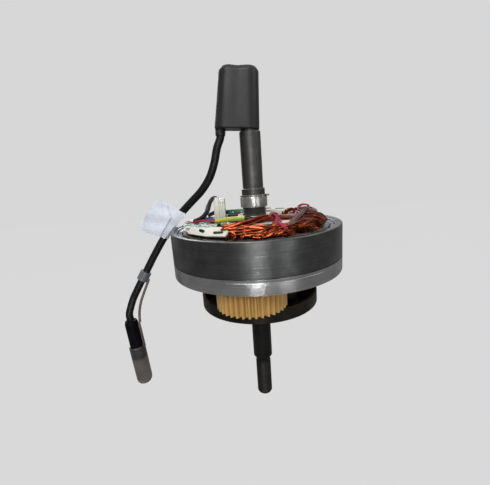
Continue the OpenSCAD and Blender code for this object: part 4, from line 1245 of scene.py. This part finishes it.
# Runs of the crimson thread that ties the bundles.
KNOTS = (
    ((8.6, -42.4, 119.6), (10.4, -38.6, 121.2), (13.6, -35.6, 120.6), (15.2, -36.6, 117.6)),
    ((9.6, -38, 121), (12.6, -40.6, 120), (13.2, -43.4, 117.6), (10.8, -45.8, 116.4), (7.8, -45.4, 116)),
    ((12.8, -41, 119.2), (15.4, -43.2, 117.2), (15.2, -46.4, 115.8), (17.4, -48, 114.2)),
    ((9.4, -44.8, 116.6), (13.2, -46.4, 116.2), (16.8, -47.4, 115.2), (19, -49, 112.8)),
    ((14.4, -37.4, 119.8), (12.4, -43, 117.2), (14.8, -48.2, 115.4), (18.6, -50, 112.2)),
    ((30.6, -12.6, 119.2), (31.2, -9.2, 121.4), (34.8, -6.6, 122.2), (38.4, -7.4, 121.2),
     (38, -10.8, 119.4), (34.8, -13.2, 120.6), (31.2, -12.2, 120.6)),
    ((31.6, -8.6, 120.6), (34, -11, 122), (37.6, -9.4, 121.8), (39.4, -4.6, 119.8), (38.4, 0, 117.6)),
    ((30.4, -13.2, 119.2), (28.4, -16.4, 117.8), (27.4, -21, 116.6)),
)


@dataclass
class Windings:
    """The 18 wound coils, and the wires that lie across them."""

    coils: int = 18
    turns: int = 10
    wire_r: float = 0.5
    inner_r: float = 40.15
    outer_r: float = 49.25
    half_width: float = 6.15
    flare: float = 0.16
    low: float = 85.5
    high: float = 111.8
    corner: float = 2.4
    seed: int = 11

    def build(self) -> None:
        """Builds the coils and all the wires."""
        rng = random.Random(self.seed)
        self.wound_coils(rng)
        for bundle in BUNDLES:
            bundle.build(rng)
        self.lacing(rng)

    def wound_coils(self, rng: random.Random) -> None:
        """Builds the coils, each a row of turns round its tooth."""
        loops = []
        for coil in range(self.coils):
            angle = math.tau * coil / self.coils
            out, side = Vector((math.cos(angle), math.sin(angle), 0)), Vector((-math.sin(angle),
                                                                               math.cos(angle), 0))
            for turn in range(self.turns):
                radius = self.inner_r + (self.outer_r - self.inner_r) * turn / (self.turns - 1)
                half = self.half_width + self.flare * (radius - self.inner_r) + rng.uniform(-0.12, 0.05)
                low, high = self.low + rng.uniform(0, 0.2), self.high - rng.uniform(0, 0.35)
                loop = []
                for x, z, turned in ((half, high, 0), (-half, high, 1), (-half, low, 2), (half, low, 3)):
                    middle = (x - math.copysign(self.corner, x), z - math.copysign(self.corner, z - 98))
                    for step in range(4):
                        bend = math.radians(90 * turned + 30 * step)
                        px = middle[0] + self.corner * math.cos(bend)
                        pz = middle[1] + self.corner * math.sin(bend)
                        loop.append((out * radius + side * px + Vector((0, 0, pz))) * MM)
                loops.append(loop)
        Workshop.wires("wound_coils", loops, self.wire_r, COIL_COPPER, ("stator_coils",), loops=True)

    @staticmethod
    def lacing(rng: random.Random) -> None:
        """Builds the crimson thread that ties the bundles."""
        threads = []
        for knot in KNOTS:
            for _ in range(3):
                shift = Vector([rng.uniform(-0.45, 0.45) for _ in range(3)])
                threads.append(Workshop.smooth_path([Vector(point) + shift for point in knot], 5))
        Workshop.wires("crimson_lacing", threads, 0.42, CRIMSON, ("crimson_lead",))


@dataclass
class StatorTop:
    """Insulation, sleeves, boards and blocks on top of the stator."""

    connector_at: Point = (-31.0, -2.0, 110.45)
    hub_top: float = 110.4
    coil_top: float = 112.4
    seed: int = 5
    hose: tuple[Point, ...] = (
        (-20.2, 0, 181.1), (-18.8, 0, 185), (-17.5, 0, 190), (-15, 0, 196), (-10, 0, 200.5),
        (-4.5, 0, 200.5), (-1, 0, 197.5), (0, 0, 192), (0, 0, 165), (0, 0, 140), (0, 0, 121),
        (-0.2, 0, 116.5), (-1.5, 0, 113.9), (-5, 0, 113.1), (-17, 0, 113.1))
    leaves: tuple[tuple[str, tuple[Point, ...]], ...] = (
        ("insulating_leaf", (
            (-46.5, -21.5, 113.6), (-43, -27.6, 113.6), (-37.6, -34.6, 113.8), (-30, -39.2, 114.2),
            (-23.6, -42.6, 114.8), (-18.2, -45.2, 114.6), (-16.4, -47.6, 113.6), (-16.2, -50.4, 112),
            (-18.0, -52.2, 110.6), (-30, -46.8, 110.4), (-42.6, -34.6, 110.4), (-48, -26, 111.6))),
        ("insulating_tab", (
            (14, -38.4, 116.2), (22.4, -34.4, 115.6), (22.6, -40, 114.6), (15, -43.4, 114.6))))
    lumps: tuple[tuple[float, float, float, float], ...] = (
        (186, 45, 8, 2.5), (196, 46, 8, 2.4), (205, 45, 8, 2.6), (214, 43, 7, 2.4), (176, 45.6, 7, 2.2),
        (222, 41, 6, 2.4), (166, 44.6, 6.4, 2.0), (192, 41, 7, 3.1), (208, 39, 6, 2.8), (218, 46, 5, 1.8),
        (229, 41, 5.4, 2.6), (236, 42.6, 4.6, 2.4), (204, 50, 4.4, 1.8), (214, 50.4, 3.6, 1.6))

    def build(self) -> None:
        """Builds every piece on the stator's top."""
        Workshop.soften_all((("stator_core", LAMINATION, 0.0), ("upper_insulator", INSULATOR, 0.15),
                             ("lower_insulator", INSULATOR, 0.15)))
        self.connector()
        self.boards()
        self.sleeves()
        self.insulating_leaf()
        self.blocks()
        self.resin()

    def connector(self) -> None:
        """Builds the white connector: two shells side by side, with a latch and crimps."""
        x, y, z = self.connector_at
        shells = [((width, 5.8, height), moved(x + offset, y + 3, z + height / 2), 0.45)
                  for offset, width, height in ((3.1, 3.9, 20.3), (7.2, 4.4, 19.2))]
        Workshop.blocks("connector_shell", [
            *shells,
            ((1.6, 5.0, 12), moved(x + 5.0, y + 3, z + 6), 0.3),
            ((1.2, 0.9, 11), moved(x + 7.2, y - 0.2, z + 11), 0.25),
            ((3.4, 0.7, 1.4), moved(x + 7.2, y - 0.2, z + 17), 0.25),
        ], WHITE_NYLON, ("board_connector",))

    def boards(self) -> None:
        """Builds the curved sensor board, its chips, and the upright board with its parts."""
        Workshop.softened("sensor_board", GREEN_BOARD, 0.12)
        Workshop.softened("sensor_chips", CHIP, 0.2)
        lean = moved(-14.6, 16.2, self.hub_top) @ rotated(-6, "Z")
        Workshop.blocks("upright_board", [((13.6, 1.4, 8.8), lean @ moved(0, 0, 4.5), 0.15)], GREEN_BOARD,
                        ("lead_board",))
        rng = random.Random(self.seed)
        for finish, name in ((COPPER, "board_coils"), (WHITE_NYLON, "board_clips"), (SOLDER, "board_joints")):
            parts = []
            for _ in range(4):
                spot = lean @ moved(rng.uniform(-5.6, 5.6), -1.3, rng.uniform(3.2, 6.6))
                parts.append(((rng.uniform(1.2, 2.2), 1.2, rng.uniform(0.9, 1.6)), spot, 0.2))
            Workshop.blocks(name, parts, finish, slot="board_green")
        Workshop.blocks("board_parts", [((9.4, 3.0, 5.4), moved(-16.4, 12.6, self.hub_top + 2.9), 0.5),
                                        ((3.0, 3.6, 3.4), moved(-9.6, 10.8, self.hub_top + 1.9), 0.5)],
                        CHIP, slot="chip_black")
        Workshop.blocks("white_clip", [((3.4, 3.4, 7.4), moved(-7.4, 14.6, self.hub_top + 3.9), 0.7, 3)],
                        WHITE_NYLON, slot="connector_white")

    def sleeves(self) -> None:
        """Builds the yellow sleeve with its dark end, the hose in the axle, and a tie's grey wedge."""
        sleeve = Workshop.smooth_path(((-26.8, -20.6, 115.6), (-21, -22, 116.5), (-14, -23.6, 117.1),
                                       (-6.4, -25.2, 117.3)))
        stubs = [[(-23.4, -38.4, 114.6), (-22.4, -40.2, 116.4), (-22.2, -41.4, 116.0)],
                 [(-34.4, -40.6, 113.6), (-33.0, -41.8, 113.4), (-31.6, -42.8, 112.8)]]
        Workshop.wires("black_stubs", [Workshop.smooth_path(line) for line in stubs], 1.0, DARK_WIRE, (),
                       "wire_black", sides=4)
        Workshop.wires("yellow_sleeve", [sleeve], 1.55, YELLOW, ("lead_sleeve",), sides=4)
        ends = [[(-6.6, -25.2, 117.3), (-4.2, -25.8, 117), (-1.6, -26.4, 116), (1.5, -26.6, 113.4)],
                [(-26.6, -20.6, 115.6), (-30, -19.4, 114.6), (-34, -17, 113.8)]]
        for name, line, radius in (("sleeve_end", ends[0], 1.7), ("sleeve_lead", ends[1], 1.1)):
            Workshop.wires(name, [Workshop.smooth_path(line)], radius, DARK_WIRE, (), "wire_black", sides=4)
        hose = Workshop.smooth_path(self.hose, 5)
        Workshop.wires("axle_hose", [hose], 2.35, DARK_WIRE, ("axle_harness",), sides=4)
        fan = []
        rng = random.Random(self.seed)
        for spread in range(6):
            end = Vector((-25 - 2 * (spread % 3), -6 + 3.4 * spread, 113.6))
            line = [Vector((-15, 0.3 * (spread - 3), 113.1)), Vector((-19, 0.8 * (spread - 3), 113.6)),
                    Vector((-22, end.y * 0.6, 114 + rng.random())), end]
            fan.append(Workshop.smooth_path(line))
        Workshop.wires("hose_fan", fan, 0.6, BROWN_WIRE, (), "wire_black", sides=2)
        wedge = bmesh.new()
        made = bmesh.ops.create_cone(wedge, cap_ends=True, segments=20, radius1=1.5 * MM, radius2=0.3 * MM,
                                     depth=11 * MM)["verts"]
        bmesh.ops.scale(wedge, vec=(1, 0.45, 1), verts=made)
        turn = rotated(-90, "Y") @ rotated(90, "Z")
        bmesh.ops.transform(wedge, matrix=moved(4.2, -47.4, 116.4) @ turn, verts=made)
        Workshop.from_bmesh("grey_tie_tail", wedge, PALE_PLASTIC, (), "connector_white")

    def insulating_leaf(self) -> None:
        """Builds the white insulating leaf at the front left with the slot in it, and a smaller tab."""
        for name, outline in self.leaves:
            shape = bmesh.new()
            top = shape.faces.new([shape.verts.new(mm(*point)) for point in outline])
            bmesh.ops.inset_individual(shape, faces=[top], thickness=1.2 * MM, depth=0.25 * MM)
            bmesh.ops.triangulate(shape, faces=[face for face in shape.faces if len(face.verts) > 4])
            bmesh.ops.subdivide_edges(shape, edges=shape.edges[:], cuts=2, use_grid_fill=True)
            bmesh.ops.solidify(shape, geom=shape.faces[:], thickness=0.9 * MM)
            Workshop.from_bmesh(name, shape, WHITE_NYLON, (), "insulator_white", CUT_ANGLE)
        turn = moved(-22.2, -48.4, 112.9) @ rotated(-17, "Z") @ rotated(20, "X")
        Workshop.blocks("leaf_slot", [((6.4, 1.8, 1.4), turn, 0.6, 3)], BROWN_WIRE, slot="braid_brown")

    def blocks(self) -> None:
        """Builds the white splice block with its window, and the grey plate beside it."""
        turn = moved(7.5, 14, self.hub_top) @ rotated(-14, "Z")
        Workshop.blocks("splice_shell", [((19.8, 6.8, 7.3), turn @ moved(10, 3.5, 3.75), 0.8, 3),
                                         ((14, 2.4, 1.0), turn @ moved(9, -0.4, 1.2), 0.3)], WHITE_NYLON,
                        ("splice_block",))
        Workshop.blocks("splice_window", [((7.6, 3.4, 0.8), turn @ moved(12, 3.5, 7.3), 0.38, 3)],
                        BROWN_WIRE, slot="braid_brown")
        lie = moved(22.5, 4.0, self.hub_top + 2.3) @ rotated(-6, "Z")
        ribs = [((16, 0.8, 0.5), lie @ moved(0, along, 0.7), 0.15) for along in (-3.4, 0.4, 4.0)]
        Workshop.blocks("grey_plate", [((19, 11, 1.0), lie, 0.35), *ribs, ((12, 6, 1.8),
                                                                           lie @ moved(0, 0, -1.3), 0.3)],
                        PALE_PLASTIC, slot="connector_white")

    def resin(self) -> None:
        """Builds the cloudy resin over the sensor board: low lumps that run into each other."""
        rng = random.Random(self.seed)
        shape = bmesh.new()
        for angle, radius, reach, rise in self.lumps:
            made = bmesh.ops.create_icosphere(shape, subdivisions=4, radius=MM)["verts"]
            turn = math.radians(angle + rng.uniform(-2, 2))
            at = mm(radius * math.cos(turn), radius * math.sin(turn), self.coil_top + 0.5)
            for vert in made:
                wave = 1 + 0.16 * math.sin(vert.co.x / MM * 5 + angle) * math.cos(vert.co.y / MM * 4 + radius)
                vert.co = Vector((vert.co.x * reach * wave, vert.co.y * reach * wave,
                                  vert.co.z * rise * wave))
            bmesh.ops.translate(shape, vec=at, verts=made)
        mesh = Workshop.remelted(Workshop.to_mesh("resin_lumps", shape), 0.45, 4)
        Workshop.place("resin_pool", mesh, RESIN, slot="insulator_white")


# ---------------------------------------------------------------- rotor


@dataclass
class Rotor:
    """The turned ring and plate with the magnets."""

    outer_r: float = 62.5
    inner_r: float = 57.5
    low: float = 86.6
    top: float = 109.3
    groove_z: float = 84.7

    def build(self) -> None:
        """Builds every piece of the rotor."""
        ring = Workshop.spin([(self.inner_r, self.low + 0.3), (self.inner_r + 0.3, self.low),
                              (self.outer_r - 0.35, self.low), (self.outer_r - 0.2, self.low + 0.25),
                              (self.outer_r, self.low + 0.4), (self.outer_r, self.top - 0.7),
                              (self.outer_r - 0.2, self.top - 0.25), (self.outer_r - 0.7, self.top),
                              (self.inner_r + 2.3, self.top), (self.inner_r + 2.0, self.top - 0.25),
                              (self.inner_r + 1.9, self.top - 0.9), (self.inner_r + 0.5, self.top - 1.0),
                              (self.inner_r, self.top - 1.5)], 256)
        Workshop.flatten(Workshop.from_bmesh("turned_ring", ring, ROTOR_STEEL, ("rotor_ring",),
                                             angle=FLAT_ANGLE, body=Body.ROTOR))
        Workshop.softened("rotor_magnets", MAGNET, 0.3)
        Workshop.softened("rotor_plate", ROTOR_ALUMINIUM, 0.3, groove=(self.groove_z, self.outer_r, 0.22,
                                                                       0.35))
        Workshop.soften_all((("rotor_screws", SCREW_STEEL, 0.1), ("sun_screws", SCREW_STEEL, 0.1),
                             ("sun_gear", GEAR_STEEL, 0.15), ("low_rotor_bearing", BRIGHT_STEEL, 0.0),
                             ("high_rotor_bearing", BRIGHT_STEEL, 0.0)))


# ---------------------------------------------------------------- reduction


@dataclass
class Reduction:
    """The carrier, its one-way clutch and the three planet gears."""

    planets: int = 3

    def build(self) -> None:
        """Builds every piece of the reduction."""
        Workshop.soften_all((("carrier_cup", CARRIER_STEEL, 0.6), ("carrier_posts", CARRIER_STEEL, 0.3),
                             ("carrier_plate", CARRIER_STEEL, 0.3), ("carrier_screws", SCREW_STEEL, 0.12),
                             ("planet_pins", GEAR_STEEL, 0.2), ("planet_washers", BRIGHT_STEEL, 0.08),
                             ("clutch_race", GEAR_STEEL, 0.15), ("clutch_key", GEAR_STEEL, 0.1),
                             ("clutch_rollers", BRIGHT_STEEL, 0.1), ("clutch_springs", SPRING_STEEL, 0.0),
                             ("clutch_cover", BRIGHT_STEEL, 0.1), ("carrier_bearing", BRIGHT_STEEL, 0.0)))
        for planet in range(1, self.planets + 1):
            Workshop.softened(f"planet_gear_{planet}", NYLON, 0.16)
            Workshop.softened(f"planet_bearing_{planet}", BRIGHT_STEEL, 0.0)


def main() -> None:
    """Builds the studio, then each sub-assembly."""
    logging.basicConfig(level=logging.INFO, format="%(name)s: %(message)s")
    for assembly in (Studio(), CableEnd(), AxleStack(), Windings(), StatorTop(), Rotor(), Reduction()):
        LOG.info("building %s", type(assembly).__name__)
        assembly.build()


if __name__ == "__main__":
    main()
